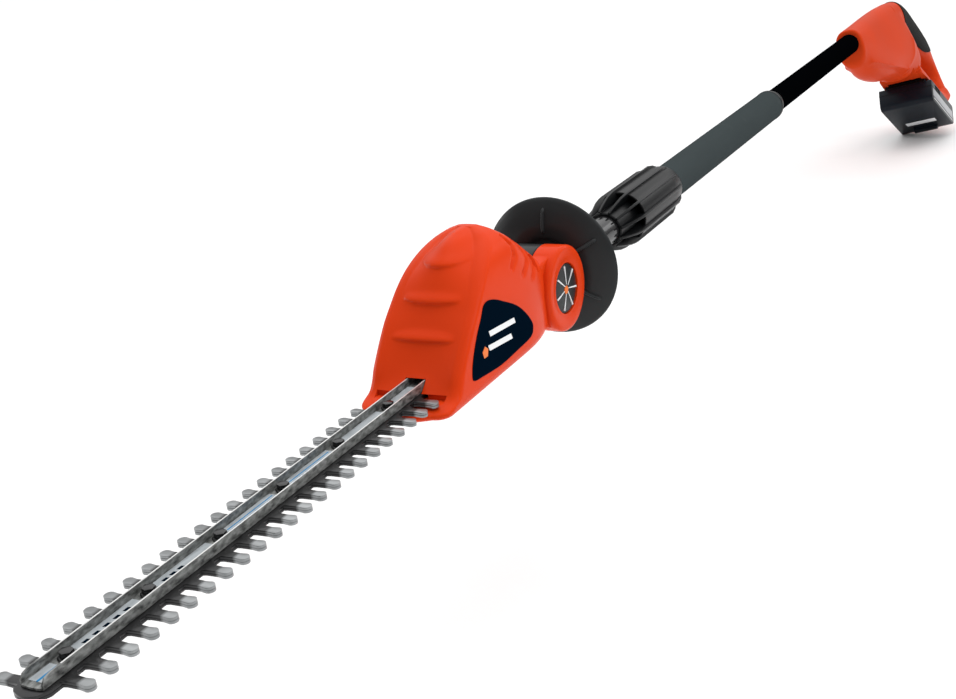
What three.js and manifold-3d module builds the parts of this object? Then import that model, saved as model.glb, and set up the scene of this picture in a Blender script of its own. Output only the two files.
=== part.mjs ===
// Cordless pole hedge trimmer, millimetres. While it is built, X runs forward along the blade from the
// front tooth's centre line, Y is the tool's left and Z is up from the plane between the two blades.
// At the end everything is moved so that the origin is the bottom centre of the bounding box.
import * as THREE from 'three';
import { mergeVertices } from 'three/addons/utils/BufferGeometryUtils.js';
import ManifoldModule from 'manifold-3d';

const wasm = await ManifoldModule();
wasm.setup();

// ---- driving dimensions ------------------------------------------------------------------------
const PITCH = 19.05;            // tooth spacing
const TEETH = { left: 23, right: 22 };   // teeth on each edge of a blade
const TOOTH_REACH = 34.2;       // blade centre line to tooth tip
const SPINE_HALF = 12.5;        // half width of the solid middle of a blade
const TOOTH_HALF = 4.1;         // half width of a tooth finger
const LEFT_STAGGER = 0.6;       // right edge teeth sit this many pitches ahead of the left edge teeth
const BLADE_T = 2.1;            // thickness of each blade
const BLADE_GAP = 0.3;          // running gap between sliding plates
const STROKE = 8;               // each blade moves this far either way
const BOLT_PITCH = 76.2;        // guide bar bolt spacing
const BOLT_FIRST = -14.3;       // first bolt, behind the front tooth
const BOLTS = 6;
const BAR_HALF = 9.6;           // guide bar channel, outer half width
const BAR_WALL = 1.5;
const BAR_LOW = 2.75;           // underside of the channel floor
const BAR_HIGH = 10.55;         // top of the channel walls
const BAR_FRONT = 17.2;
const BAR_REAR = -492;

const HEAD_WALL = 2.8;
const SPLIT = 0.15;             // half the gap between the two halves of a housing
const DRIVE_X = -520;           // drive gear axis
const DRIVE_TEETH = 32;
const PINION_TEETH = 8;
const MODULE = 1.5;
const MOTOR_X = DRIVE_X - MODULE * (DRIVE_TEETH + PINION_TEETH) / 2 - 0.35;
const ECC_R = 7;
const BLADE_TAIL = -552;

const PIVOT = { x: -668, z: 18 };   // knuckle axis, parallel to Y
const CHEEK_R = 43;
const CHEEK_IN = 20;
const CHEEK_OUT = 42.5;
const BARREL_R = 42.6;
const BARREL_HALF = 18.8;
const BUTTON_R = 25;
const PIN_R = 6;

const AXIS_Z = 14.7;            // pole axis height
const DISC_X = -722;
const DISC_R = 73.5;
const DISC_Z = 20;
const FRONT_TUBE_R = 17.3;
const FRONT_TUBE_WALL = 1.5;
const REAR_TUBE_R = 17.65;
const REAR_TUBE_WALL = 1.5;
const SLEEVE_R = 22.4;
const TUBE_FRONT = { from: -722.5, to: -1425 };
const TUBE_REAR = { from: -1440, to: -2085 };
const COLLAR = { from: -868, to: -1056, shellFrom: -918, rShell: 30.5, rRib: 33.6, rEnd: 24.5 };
const SLEEVE = { from: -1057, to: -1505 };
const SLEEVE_CAP_END = -1525;

const HANDLE_ROLL = 12 * Math.PI / 180;   // the handle's plane leans to the tool's left
const HANDLE_WALL = 2.6;
const BATTERY = { front: [-2325, 183], pitch: 32.7 * Math.PI / 180, length: 164, half: 53, height: 44 };

// ---- colours -------------------------------------------------------------------------------------
const ORANGE = [0xe8501f, 0.45, 0.0];
const BLACK = [0x1b1c1e, 0.55, 0.0];
const RUBBER = [0x17181a, 0.9, 0.0];
const DARK = [0x3a3d40, 0.55, 0.0];
const STEEL = [0x9a9c9d, 0.35, 1.0];
const DARK_STEEL = [0x55585a, 0.4, 1.0];
const TUBE = [0x202224, 0.3, 0.6];
const NAVY = [0x141c2c, 0.4, 0.0];
const YELLOW = [0xd8c9a0, 0.6, 0.0];

// ---- helpers -------------------------------------------------------------------------------------
const V2 = (x, y) => new THREE.Vector2(x, y);

function solid(geometry) {
  const g = geometry.clone();
  for (const name of Object.keys(g.attributes)) if (name !== 'position') g.deleteAttribute(name);
  const m = mergeVertices(g, 1e-4);
  return new wasm.Manifold(new wasm.Mesh({
    numProp: 3,
    vertProperties: new Float32Array(m.attributes.position.array),
    triVerts: new Uint32Array(m.index.array),
  }));
}

function geometryOf(manifold) {
  const mesh = manifold.getMesh();
  const g = new THREE.BufferGeometry();
  const pos = new Float32Array(mesh.numVert * 3);
  for (let i = 0; i < mesh.numVert; i++) {
    for (let k = 0; k < 3; k++) pos[3 * i + k] = mesh.vertProperties[i * mesh.numProp + k];
  }
  g.setAttribute('position', new THREE.BufferAttribute(pos, 3));
  g.setIndex(new THREE.BufferAttribute(new Uint32Array(mesh.triVerts), 1));
  g.computeVertexNormals();
  return g;
}

const union = (list) => list.reduce((a, b) => a.add(b));

// A flat shape with holes, extruded; plane says which two axes the points are in.
function extrude(points, from, to, plane = 'xy', holes = [], bevel = 0) {
  const shape = new THREE.Shape(points.map((p) => V2(p[0], p[1])));
  for (const hole of holes) shape.holes.push(new THREE.Path(hole.map((p) => V2(p[0], p[1]))));
  const depth = Math.abs(to - from) - 2 * bevel;
  const options = { depth, bevelEnabled: bevel > 0, bevelThickness: bevel, bevelSize: bevel,
    bevelOffset: -bevel, bevelSegments: 3, steps: 1, curveSegments: 8 };
  const g = new THREE.ExtrudeGeometry(shape, options);
  g.translate(0, 0, bevel);
  const low = Math.min(from, to);
  const high = Math.max(from, to);
  if (plane === 'xy') g.translate(0, 0, low);
  if (plane === 'xz') { g.rotateX(Math.PI / 2); g.translate(0, high, 0); }
  if (plane === 'yz') {
    const turn = new THREE.Matrix4().makeBasis(
      new THREE.Vector3(0, 1, 0), new THREE.Vector3(0, 0, 1), new THREE.Vector3(1, 0, 0));
    g.applyMatrix4(turn);
    g.translate(low, 0, 0);
  }
  return solid(g);
}

function circle(cx, cy, r, n = 32) {
  return Array.from({ length: n }, (_, i) => {
    const a = (i / n) * 2 * Math.PI;
    return [cx + r * Math.cos(a), cy + r * Math.sin(a)];
  });
}

const box = (x0, x1, y0, y1, z0, z1) => extrude([[x0, y0], [x1, y0], [x1, y1], [x0, y1]], z0, z1);
const rodX = (r, x0, x1, y = 0, z = AXIS_Z, n = 32) => extrude(circle(y, z, r, n), x0, x1, 'yz');
const rodY = (r, y0, y1, x, z, n = 32) => extrude(circle(x, z, r, n), y0, y1, 'xz');
const rodZ = (r, z0, z1, x, y = 0, n = 32) => extrude(circle(x, y, r, n), z0, z1, 'xy');

// A turned body about the X axis through (y, z): profile of [x, radius] from end to end.
function turnedX(profile, y = 0, z = AXIS_Z, n = 40) {
  const g = new THREE.LatheGeometry(profile.map((p) => V2(Math.max(p[1], 0), p[0])), n);
  const turn = new THREE.Matrix4().makeBasis(
    new THREE.Vector3(0, 1, 0), new THREE.Vector3(1, 0, 0), new THREE.Vector3(0, 0, -1));
  g.applyMatrix4(turn);
  g.translate(0, y, z);
  return oriented(g);
}

// The same about a Y axis through (x, z): profile of [y, radius].
function turnedY(profile, x, z, n = 40) {
  const g = new THREE.LatheGeometry(profile.map((p) => V2(Math.max(p[1], 0), p[0])), n);
  g.translate(x, 0, z);
  return oriented(g);
}

// Builds a solid and turns it inside out if its faces point inwards.
function oriented(geometry) {
  const g = geometry.clone();
  for (const name of Object.keys(g.attributes)) if (name !== 'position') g.deleteAttribute(name);
  const m = mergeVertices(g, 1e-4);
  const index = Array.from(m.index.array);
  const pos = m.attributes.position;
  const kept = [];
  let volume = 0;
  const a = new THREE.Vector3(), b = new THREE.Vector3(), c = new THREE.Vector3();
  for (let i = 0; i < index.length; i += 3) {
    const [p, q, r] = [index[i], index[i + 1], index[i + 2]];
    if (p === q || q === r || p === r) continue;
    kept.push(p, q, r);
    a.fromBufferAttribute(pos, p); b.fromBufferAttribute(pos, q); c.fromBufferAttribute(pos, r);
    volume += a.dot(b.cross(c));
  }
  if (volume < 0) for (let i = 0; i < kept.length; i += 3) [kept[i], kept[i + 1]] = [kept[i + 1], kept[i]];
  m.setIndex(kept);
  return solid(m);
}

// Skins a row of rings, each a list of THREE.Vector3 with the same count, and closes both ends.
function loft(rings) {
  const n = rings[0].length;
  const pos = [];
  const index = [];
  for (const ring of rings) for (const p of ring) pos.push(p.x, p.y, p.z);
  for (let j = 0; j + 1 < rings.length; j++) {
    for (let i = 0; i < n; i++) {
      const a = j * n + i, b = j * n + (i + 1) % n, c = a + n, d = b + n;
      index.push(a, b, d, a, d, c);
    }
  }
  for (const end of [0, rings.length - 1]) {
    const centre = rings[end].reduce((s, p) => s.add(p), new THREE.Vector3()).divideScalar(n);
    const k = pos.length / 3;
    pos.push(centre.x, centre.y, centre.z);
    for (let i = 0; i < n; i++) {
      const a = end * n + i, b = end * n + (i + 1) % n;
      if (end === 0) index.push(k, b, a); else index.push(k, a, b);
    }
  }
  const g = new THREE.BufferGeometry();
  g.setAttribute('position', new THREE.Float32BufferAttribute(pos, 3));
  g.setIndex(index);
  return oriented(g);
}

const power = (v, p) => Math.sign(v) * Math.abs(v) ** (2 / p);

// Straight-line interpolation in a table whose first column is the key, in rising order.
function lookup(table, key) {
  let k = 0;
  while (k < table.length - 2 && key > table[k + 1][0]) k++;
  const t = (key - table[k][0]) / (table[k + 1][0] - table[k][0]);
  return table[k].map((v, i) => v + (table[k + 1][i] - v) * t);
}

// ---- blades and guide bar ------------------------------------------------------------------------
const ROOT_RAMP = 4.5;   // the sloping root behind each tooth

function toothSide(side, first, count) {
  const points = [];
  for (let k = 0; k < count; k++) {
    const x = first - k * PITCH;
    points.push([x + TOOTH_HALF, side * SPINE_HALF], [x + TOOTH_HALF, side * (TOOTH_REACH - 2.6)],
      [x + 1.8, side * TOOTH_REACH], [x - 1.8, side * TOOTH_REACH], [x - TOOTH_HALF, side * (TOOTH_REACH - 2.6)],
      [x - TOOTH_HALF, side * (SPINE_HALF + 6)], [x - TOOTH_HALF - ROOT_RAMP, side * SPINE_HALF]);
  }
  return points;
}

function slot(cx, half, r) {
  const points = [];
  for (let s = 0; s <= 4; s++) {
    const a = -Math.PI / 2 + (s / 4) * Math.PI;
    points.push([cx + half + r * Math.cos(a), r * Math.sin(a)]);
  }
  for (let s = 0; s <= 4; s++) {
    const a = Math.PI / 2 + (s / 4) * Math.PI;
    points.push([cx - half + r * Math.cos(a), r * Math.sin(a)]);
  }
  return points;
}

function bladePlate(zLow) {
  const left = toothSide(1, 0, TEETH.left);
  const right = toothSide(-1, LEFT_STAGGER * PITCH, TEETH.right).reverse();
  const nose = [[19.5, -SPINE_HALF], [23, -8], [24.5, 0], [22, 8], [14, SPINE_HALF]];
  const tailTop = [[-466, SPINE_HALF], [-472, 10], [-490, 10], [-497, 22], [BLADE_TAIL, 22]];
  const tailLow = [[BLADE_TAIL, -22], [-497, -22], [-490, -10], [-462, -10]];
  const outline = [...left, ...tailTop, ...tailLow, ...right, ...nose];
  const holes = [];
  for (let j = 0; j < BOLTS; j++) holes.push(slot(BOLT_FIRST - j * BOLT_PITCH, STROKE + 0.4, 3.4));
  const w = ECC_R + 2 * STROKE + 0.6;
  const h = ECC_R + STROKE + 0.6;
  holes.push([[DRIVE_X - w, -h], [DRIVE_X + w, -h], [DRIVE_X + w, h], [DRIVE_X - w, h]]);
  return extrude(outline, zLow, zLow + BLADE_T, 'xy', holes);
}

function guideBar() {
  const nose = [[BAR_FRONT, 0]];
  const floor = [[BAR_REAR, -BAR_HALF], [BAR_FRONT - 1, -BAR_HALF], [BAR_FRONT, -7], [BAR_FRONT + 0.6, 0],
    [BAR_FRONT, 7], [BAR_FRONT - 1, BAR_HALF], [BAR_REAR, BAR_HALF]];
  const holes = [];
  for (let j = 0; j < BOLTS; j++) holes.push(circle(BOLT_FIRST - j * BOLT_PITCH, 0, 2.9, 12));
  const wall = [[BAR_REAR, BAR_LOW], [nose[0][0] - 1, BAR_LOW], [BAR_FRONT - 1.2, 6], [BAR_FRONT - 4, 9.4],
    [BAR_FRONT - 8.8, BAR_HIGH], [BAR_REAR, BAR_HIGH]];
  return union([
    extrude(floor, BAR_LOW, BAR_LOW + BAR_WALL, 'xy', holes),
    extrude(wall, BAR_HALF - BAR_WALL, BAR_HALF, 'xz'),
    extrude(wall, -BAR_HALF, -BAR_HALF + BAR_WALL, 'xz'),
  ]);
}

function retainerStrip() {
  const top = -BLADE_GAP / 2 - BLADE_T - BLADE_GAP;
  const outline = [[BAR_REAR + 6, -8], [BAR_FRONT - 6, -8], [BAR_FRONT - 1, -4], [BAR_FRONT, 0],
    [BAR_FRONT - 1, 4], [BAR_FRONT - 6, 8], [BAR_REAR + 6, 8]];
  const holes = [];
  for (let j = 0; j < BOLTS; j++) holes.push(circle(BOLT_FIRST - j * BOLT_PITCH, 0, 2.9, 12));
  return extrude(outline, top - 1.6, top, 'xy', holes);
}

function hexagon(cx, across, n = 6) {
  return circle(cx, 0, across / Math.sqrt(3), n);
}

const UNDER = -BLADE_GAP / 2 - BLADE_T - BLADE_GAP - 1.6;

function barBolt(x) {
  const seat = BAR_LOW + BAR_WALL + 0.25;
  return union([
    rodZ(2.5, UNDER - 3.0, seat + 1, x, 0, 10),
    rodZ(6.4, seat, seat + 1.1, x, 0, 18),
    extrude(hexagon(x, 8.6), seat + 0.9, seat + 4.6),
  ]);
}

function barNut(x) {
  return extrude(hexagon(x, 8), UNDER - 2.3, UNDER - 0.3, 'xy', [circle(x, 0, 2.9, 10)]);
}

// ---- head housing --------------------------------------------------------------------------------
// Level sections of the housing: height, front at the centre line, front at the corners, rear,
// half width and corner radius.
const HEAD = [
  [-15.5, -410, -420, -636, 37, 10], [-12, -404, -413, -650, 43, 13], [-7, -404, -412, -658, 45.5, 13],
  [-2, -423, -427, -660, 46, 11], [4, -434, -434, -662, 46, 10], [18, -449, -443, -664, 46, 9],
  [47, -469, -467, -660, 46, 9], [62, -480, -482, -643, 45.3, 10], [73, -487, -493, -627, 44.2, 11],
  [84, -495, -506, -611, 42, 12], [92.5, -502, -519, -598, 39, 13], [99.5, -509, -532, -588, 34.5, 13],
  [105, -517, -543, -580, 28, 11], [109.5, -527, -551, -574, 20, 8], [113, -541, -558, -569, 10, 4],
];
const HEAD_MID = -566;

// Front surface of the housing at a height and a distance from the centre line.
function headFront(z, y) {
  const [, centre, corner, , half] = lookup(HEAD, z);
  return centre + (corner - centre) * Math.min(1, Math.abs(y) / half) ** 2;
}

function headRing(z, inset) {
  const [, centre, corner, rear, half, radius] = lookup(HEAD, z);
  const w = Math.max(half - inset, 3);
  const rc = Math.max(radius - inset, 1);
  const front = corner - inset;
  const back = rear + inset;
  const mid = Math.max(HEAD_MID, back + 3) < front - rc - 3 ? Math.max(HEAD_MID, back + 3)
    : (front - rc + back) / 2;
  const side = [];
  for (let i = 0; i < 3; i++) {
    const u = i / 3;
    side.push([centre - inset + (corner - centre) * u ** 2, u * (w - rc)]);
  }
  for (let i = 0; i <= 3; i++) {
    const a = (i / 3) * (Math.PI / 2);
    side.push([front - rc + rc * Math.cos(a), w - rc + rc * Math.sin(a)]);
  }
  side.push([(front - rc) * 0.5 + mid * 0.5, w], [mid, w]);
  for (let i = 1; i < 5; i++) {
    const a = (i / 5) * (Math.PI / 2);
    side.push([mid + (back - mid) * power(Math.sin(a), 2.5), w * power(Math.cos(a), 2.5)]);
  }
  const ring = side.map(([x, y]) => new THREE.Vector3(x, y, z));
  ring.push(new THREE.Vector3(back, 0, z));
  for (let i = side.length - 1; i > 0; i--) ring.push(new THREE.Vector3(side[i][0], -side[i][1], z));
  return ring;
}

function headLoft(inset) {
  const zs = HEAD.map((row) => row[0]);
  const low = zs[0] + inset, high = zs[zs.length - 1] - inset;
  const levels = [low, ...zs.filter((z) => z > low + 1 && z < high - 1), high];
  return loft(levels.map((z) => headRing(inset > 0 ? z : z, inset)));
}

// Raised finger ribs across the sloping front face.
function frontRib(z, half) {
  const rings = [];
  for (let i = 0; i <= 8; i++) {
    const u = -1 + (2 * i) / 8;
    const y = u * half;
    const r = Math.max(0.5, 4.6 * Math.sqrt(Math.max(0, 1 - u * u)));
    const x = headFront(z, y) - 1.2 - 1.8 * u * u;
    rings.push(Array.from({ length: 8 }, (_, k) => {
      const a = (k / 8) * 2 * Math.PI;
      return new THREE.Vector3(x + r * Math.cos(a), y, z + r * 0.8 * Math.sin(a));
    }));
  }
  return loft(rings);
}

function cheek(side) {
  const y = (v) => side * v;
  const drum = turnedY([[y(CHEEK_IN), 0], [y(CHEEK_IN), CHEEK_R], [y(CHEEK_OUT - 4), CHEEK_R],
    [y(CHEEK_OUT - 1.4), CHEEK_R - 1.6], [y(CHEEK_OUT), CHEEK_R - 5], [y(CHEEK_OUT), 0]], PIVOT.x, PIVOT.z, 40);
  const arm = extrude([[PIVOT.x, PIVOT.z + CHEEK_R - 2], [PIVOT.x + 40, PIVOT.z + CHEEK_R - 6],
    [PIVOT.x + 40, PIVOT.z - 30], [PIVOT.x, PIVOT.z - CHEEK_R + 3]], y(CHEEK_IN), y(CHEEK_OUT - 4), 'xz');
  return drum.add(arm);
}

const NECK_CLEAR = 19.6;

function headShells() {
  const cutCore = rodY(BARREL_R + 2.5, -NECK_CLEAR, NECK_CLEAR, PIVOT.x, PIVOT.z, 40)
    .add(box(-800, PIVOT.x + 28, -NECK_CLEAR, NECK_CLEAR, -80, 140));
  const cutWide = rodY(BARREL_R + 5.2, -NECK_CLEAR - 3, NECK_CLEAR + 3, PIVOT.x, PIVOT.z, 40)
    .add(box(-800, PIVOT.x + 30.7, -80, 80, -80, 140));
  const outer = union([headLoft(0), cheek(1), cheek(-1), frontRib(96, 25), frontRib(69, 28), frontRib(41, 30)])
    .subtract(cutCore);
  const inner = headLoft(HEAD_WALL).subtract(cutWide);
  let shell = outer.subtract(inner);
  // mouth for the blades and the guide bar
  shell = shell.subtract(box(-474, -380, -16, 16, -4.2, 4.4)).subtract(box(-436, -380, -38, 38, -4.2, 2.9));
  shell = shell.subtract(box(-474, -380, -11.2, 11.2, -7, 12.4));
  shell = shell.subtract(box(-500, -380, -10.4, 10.4, -10.4, -3));
  // button pockets and the hole for the knuckle pin
  for (const side of [1, -1]) {
    shell = shell.subtract(rodY(BUTTON_R + 0.5, side * 24, side * 60, PIVOT.x, PIVOT.z, 40));
  }
  shell = shell.subtract(rodY(PIN_R + 0.3, -30, 30, PIVOT.x, PIVOT.z, 24));
  const left = shell.intersect(box(-900, 0, SPLIT, 90, -90, 150));
  const right = shell.intersect(box(-900, 0, -90, -SPLIT, -90, 150));
  return [left, right];
}

// ---- drive ---------------------------------------------------------------------------------------
function gearOutline(cx, cy, teeth, phase) {
  const points = [];
  const pitchR = (MODULE * teeth) / 2;
  for (let k = 0; k < teeth; k++) {
    for (const [t, r] of [[-0.28, pitchR - 1.15], [-0.13, pitchR + 0.85], [0.13, pitchR + 0.85], [0.28, pitchR - 1.15]]) {
      const a = ((k + t + phase) / teeth) * 2 * Math.PI;
      points.push([cx + r * Math.cos(a), cy + r * Math.sin(a)]);
    }
  }
  return points;
}

function driveGear() {
  const gap = BLADE_GAP / 2;
  return union([
    extrude(gearOutline(DRIVE_X, 0, DRIVE_TEETH, 0), 6.5, 13.5),
    rodZ(6, 3.2, 6.8, DRIVE_X, 0, 24),
    rodZ(ECC_R, gap, 3.4, DRIVE_X, STROKE, 28),
    rodZ(3.5, -gap - 0.2, gap + 0.2, DRIVE_X, 0, 16),
    extrude([[DRIVE_X - 3.4, -5], [DRIVE_X + 3.4, -5], [DRIVE_X + 3.4, 5], [DRIVE_X - 3.4, 5]], -gap - 0.1, gap + 0.1),
    rodZ(ECC_R, -BLADE_T - gap, -gap, DRIVE_X, -STROKE, 28),
    rodZ(4, 13, 22, DRIVE_X, 0, 20),
  ]);
}

function motorPinion() {
  return extrude(gearOutline(MOTOR_X, 0, PINION_TEETH, 0.5), 5.5, 15).add(rodZ(1.6, 15, 23.4, MOTOR_X, 0, 16))
    .add(rodZ(3, 14.8, 18, MOTOR_X, 0, 16));
}

function motor() {
  return union([
    rodZ(22, 28, 86, MOTOR_X, 0, 40),
    rodZ(8, 24.6, 28.2, MOTOR_X, 0, 24),
    rodZ(9, 85.8, 90, MOTOR_X, 0, 24),
  ]).subtract(rodZ(2, 20, 26, MOTOR_X, 0, 16));
}

function gearboxPlate() {
  const outline = [[-486, -24], [-480, -16], [-480, 16], [-486, 24], [-586, 24], [-594, 14], [-594, -14], [-586, -24]];
  const plate = extrude(outline, 24.2, 27.6, 'xy', [circle(MOTOR_X, 0, 9.2, 24), circle(DRIVE_X, 0, 4.4, 20)]);
  const posts = [[-488, 18], [-488, -18], [-586, 17], [-586, -17]].map(([x, y]) => rodZ(3.2, 15, 24.4, x, y, 14));
  return union([plate, ...posts]);
}

// ---- knuckle, guard disc and pole ----------------------------------------------------------------
function knuckle() {
  const barrel = turnedY([[-BARREL_HALF, 0], [-BARREL_HALF, BARREL_R - 1.5], [-BARREL_HALF + 1.5, BARREL_R],
    [BARREL_HALF - 1.5, BARREL_R], [BARREL_HALF, BARREL_R - 1.5], [BARREL_HALF, 0]], PIVOT.x, PIVOT.z, 40);
  const neckRings = [];
  for (const [x, hy, hz, p, zc] of [[PIVOT.x - 14, 15, 24, 3, 17], [PIVOT.x - 40, 17, 26, 3, 18],
    [DISC_X + 8, 20, 25, 2.6, 19], [DISC_X + 2, 24.5, 24.5, 2, DISC_Z], [DISC_X - 6, 24.5, 24.5, 2, DISC_Z],
    [DISC_X - 9, 22, 23, 2, 17], [DISC_X - 20, 21, 21, 2, AXIS_Z], [DISC_X - 24, 20.2, 20.2, 2, AXIS_Z]]) {
    neckRings.push(Array.from({ length: 28 }, (_, i) => {
      const a = (i / 28) * 2 * Math.PI;
      return new THREE.Vector3(x, hy * power(Math.cos(a), p), zc + hz * power(Math.sin(a), p));
    }));
  }
  const neck = loft(neckRings);
  return barrel.add(neck)
    .subtract(rodY(PIN_R + 0.35, -40, 40, PIVOT.x, PIVOT.z, 24))
    .subtract(rodX(FRONT_TUBE_R + 0.3, TUBE_FRONT.from + 0.3, -900));
}

function guardDisc() {
  const x = DISC_X;
  const rIn = 24.9;
  const profile = [[x - 3, rIn], [x + 2, rIn], [x + 2, 30], [x + 5.5, 36], [x + 5.2, 48], [x + 1, 62],
    [x - 3.5, DISC_R - 2], [x - 4.6, DISC_R - 0.2], [x - 6.4, DISC_R], [x - 6.6, DISC_R - 2.2], [x - 1.8, 61],
    [x + 2.2, 47], [x + 2.5, 37], [x - 1, 31.5], [x - 3, 30], [x - 3, rIn]];
  let disc = turnedX(profile, 0, DISC_Z, 40);
  for (let k = 0; k < 6; k++) {
    const rib = extrude([[39, -1.2], [61, -1.2], [61, 1.2], [39, 1.2]], x + 0.4, x + 6.4, 'yz');
    const turned = rib.rotate([k * 60 + 30, 0, 0]).translate([0, 0, DISC_Z]);
    disc = disc.add(turned.subtract(turnedX([[x - 20, 0], [x - 20, DISC_R], [x - 3.5, DISC_R - 2], [x + 0.6, 61],
      [x + 4.4, 47], [x + 4.4, 0]], 0, DISC_Z, 40)));
  }
  return disc;
}

function tube(r, wall, from, to, n = 32) {
  return extrude(circle(0, AXIS_Z, r, n), from, to, 'yz', [circle(0, AXIS_Z, r - wall, n)]);
}

const HUB_R = 20.6;

// Clamp barrel fixed to the end of the outer tube; the front tube slides in it.
function collarHub() {
  const bore = FRONT_TUBE_R + 0.35;
  return turnedX([[COLLAR.from, bore], [COLLAR.from, HUB_R - 1.2], [COLLAR.from - 1.2, HUB_R],
    [SLEEVE.from + 0.3, HUB_R], [SLEEVE.from + 0.3, bore], [COLLAR.from, bore]], 0, AXIS_Z, 32);
}

// Twist-lock nut: a ribbed shell, open in front, where twelve fins run out from the hub to the ribs.
function collarNut() {
  const { from, to, shellFrom, rShell, rRib, rEnd } = COLLAR;
  const bore = HUB_R + 0.4;
  const outside = [[shellFrom, rShell - 1], [shellFrom - 2, rShell], [to + 34, rShell], [to + 6, rShell - 3.5],
    [to, rEnd], [to, rEnd - 1.5]];
  const profile = [...outside, [to + 2, rEnd - 1.5], [to + 20, bore], [shellFrom - 34, bore],
    [shellFrom - 34, rShell - 2.4], [shellFrom, rShell - 2.4], outside[0]];
  let nut = turnedX(profile, 0, AXIS_Z, 32);
  const keepOut = turnedX([[from + 20, 0], [from + 20, bore], [to + 10, bore], [to + 10, 0]], 0, 0, 36);
  for (let k = 0; k < 12; k++) {
    const rib = extrude([[from - 2, bore - 2], [from - 2, bore + 1], [from - 18, 29], [from - 36, rRib - 1],
      [shellFrom - 6, rRib], [to + 26, rRib], [to + 8, rShell - 4], [to + 8, bore - 2]], -1.5, 1.5, 'xz');
    const core = turnedX([[shellFrom - 35, 0], [shellFrom - 35, rShell - 1.2], [to + 34, rShell - 1.2],
      [to + 7, rShell - 4.5], [to + 7, 0]], 0, 0, 36);
    nut = nut.add(rib.subtract(core).subtract(keepOut).rotate([k * 30 + 10, 0, 0]).translate([0, 0, AXIS_Z]));
  }
  return nut;
}

function gripSleeve() {
  return turnedX([[SLEEVE.from, REAR_TUBE_R + 0.3], [SLEEVE.from, SLEEVE_R - 1], [SLEEVE.from - 2, SLEEVE_R],
    [SLEEVE.to, SLEEVE_R], [SLEEVE.to, REAR_TUBE_R + 0.3], [SLEEVE.from, REAR_TUBE_R + 0.3]], 0, AXIS_Z, 36);
}

function sleeveCap() {
  const x = SLEEVE.to - 0.3;
  return turnedX([[x, REAR_TUBE_R + 0.3], [x, SLEEVE_R + 0.3], [x - 6, SLEEVE_R + 0.3], [SLEEVE_CAP_END + 1, 19],
    [SLEEVE_CAP_END, 18.6], [SLEEVE_CAP_END, REAR_TUBE_R + 0.3], [x, REAR_TUBE_R + 0.3]], 0, AXIS_Z, 32);
}

// ---- handle --------------------------------------------------------------------------------------
// The handle is drawn in its own plane as [x, drop below the pole axis], and rolled at the end.
const rolled = (m) => m.translate([0, 0, -AXIS_Z]).rotate([HANDLE_ROLL * 180 / Math.PI, 0, 0])
  .translate([0, 0, AXIS_Z]);

// One closed ring square to direction (dx, dr) at (x, drop). up and low are the half heights either
// side of the centre; wUp and wLow the half widths there; p is how square the ring is.
function handleRing([x, drop, dx, dr, up, low, wUp, wLow, p], grow) {
  const len = Math.hypot(dx, dr);
  const nx = -dr / len, nr = dx / len;   // towards the upper side of the section
  const ring = [];
  for (let i = 0; i < RING; i++) {
    const a = (i / RING) * 2 * Math.PI;
    const s = power(Math.sin(a), p);
    const t = (s + 1) / 2;
    const h = s > 0 ? (up + grow) * s : (low + grow) * s;
    const w = (wLow + (wUp - wLow) * t * t * (3 - 2 * t) + grow) * power(Math.cos(a), p);
    ring.push(new THREE.Vector3(x + nx * h, w, AXIS_Z - (drop + nr * h)));
  }
  return ring;
}

const RING = 20;

const BODY = [   // from the tube socket back to where the loop opens; sections stand upright
  [-2022, 3, -1, 0, 27.5, 35, 23, 25, 2.4], [-2027, 4, -1, 0, 30, 40, 24, 26, 2.4],
  [-2036, 6, -1, 0, 32, 45, 24.5, 27, 2.4], [-2090, 20, -1, 0, 47, 60, 25, 32, 2.4],
  [-2155, 30, -1, 0, 58, 68, 25, 37, 2.5], [-2228, 38, -1, 0, 66, 71, 25, 42, 2.6],
  [-2300, 50, -1, 0, 76, 79, 25, 46, 2.6], [-2345, 56, -1, 0, 79, 82, 24, 47, 2.8], [-2362, 58, -1, 0, 76, 78, 23, 46, 2.8],
];
const GRIP = [   // from inside the body, over the top and down the rear post to the foot
  [-2320, 8, -1, 0.05, 32, 26, 22, 22, 2.4], [-2370, 14, -1, 0.3, 35, 27, 22, 21, 2.4],
  [-2412, 29, -1, 0.62, 36, 27, 21.5, 20, 2.4], [-2455, 57, -1, 0.75, 37, 26, 21, 19, 2.4],
  [-2500, 88, -1, 0.85, 37, 25, 20.5, 18.5, 2.4], [-2538, 118, -0.8, 1, 36, 20, 20, 18, 2.4],
  [-2562, 150, -0.3, 1, 28, 14, 20, 18, 2.4], [-2566, 178, 0.1, 1, 22, 15, 25, 22, 2.6],
  [-2550, 204, 0.5, 1, 18, 20, 34, 34, 3],
];
const FOOT = [   // the plate the battery slides onto, from the body back to the rear post
  [-2330, 126, -0.843, 0.538, 26, 12, 40, 46, 4], [-2372, 150, -0.843, 0.538, 18, 15, 42, 48, 4],
  [-2430, 187, -0.843, 0.538, 16, 16, 42, 48, 4], [-2490, 214, -0.87, 0.5, 16, 14, 42, 48, 4],
  [-2540, 216, -0.87, 0.4, 22, 10, 38, 46, 3.4], [-2556, 214, -0.9, 0.4, 14, 6, 30, 40, 3],
];

const handleSolid = (grow) => union([BODY, GRIP, FOOT].map((rows) => loft(rows.map((row) => handleRing(row, grow)))));

const drawn = (points) => points.map(([x, drop]) => [x, AXIS_Z - drop]);

// Battery frame: along slides towards the rear and down, out is square to it, away from the handle.
function batteryPoint(along, out) {
  const { front, pitch } = BATTERY;
  const c = Math.cos(pitch), s = Math.sin(pitch);
  return [front[0] - along * c + out * s, front[1] + along * s + out * c];
}

const batteryShape = (points) => drawn(points.map(([a, o]) => batteryPoint(a, o)));

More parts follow.
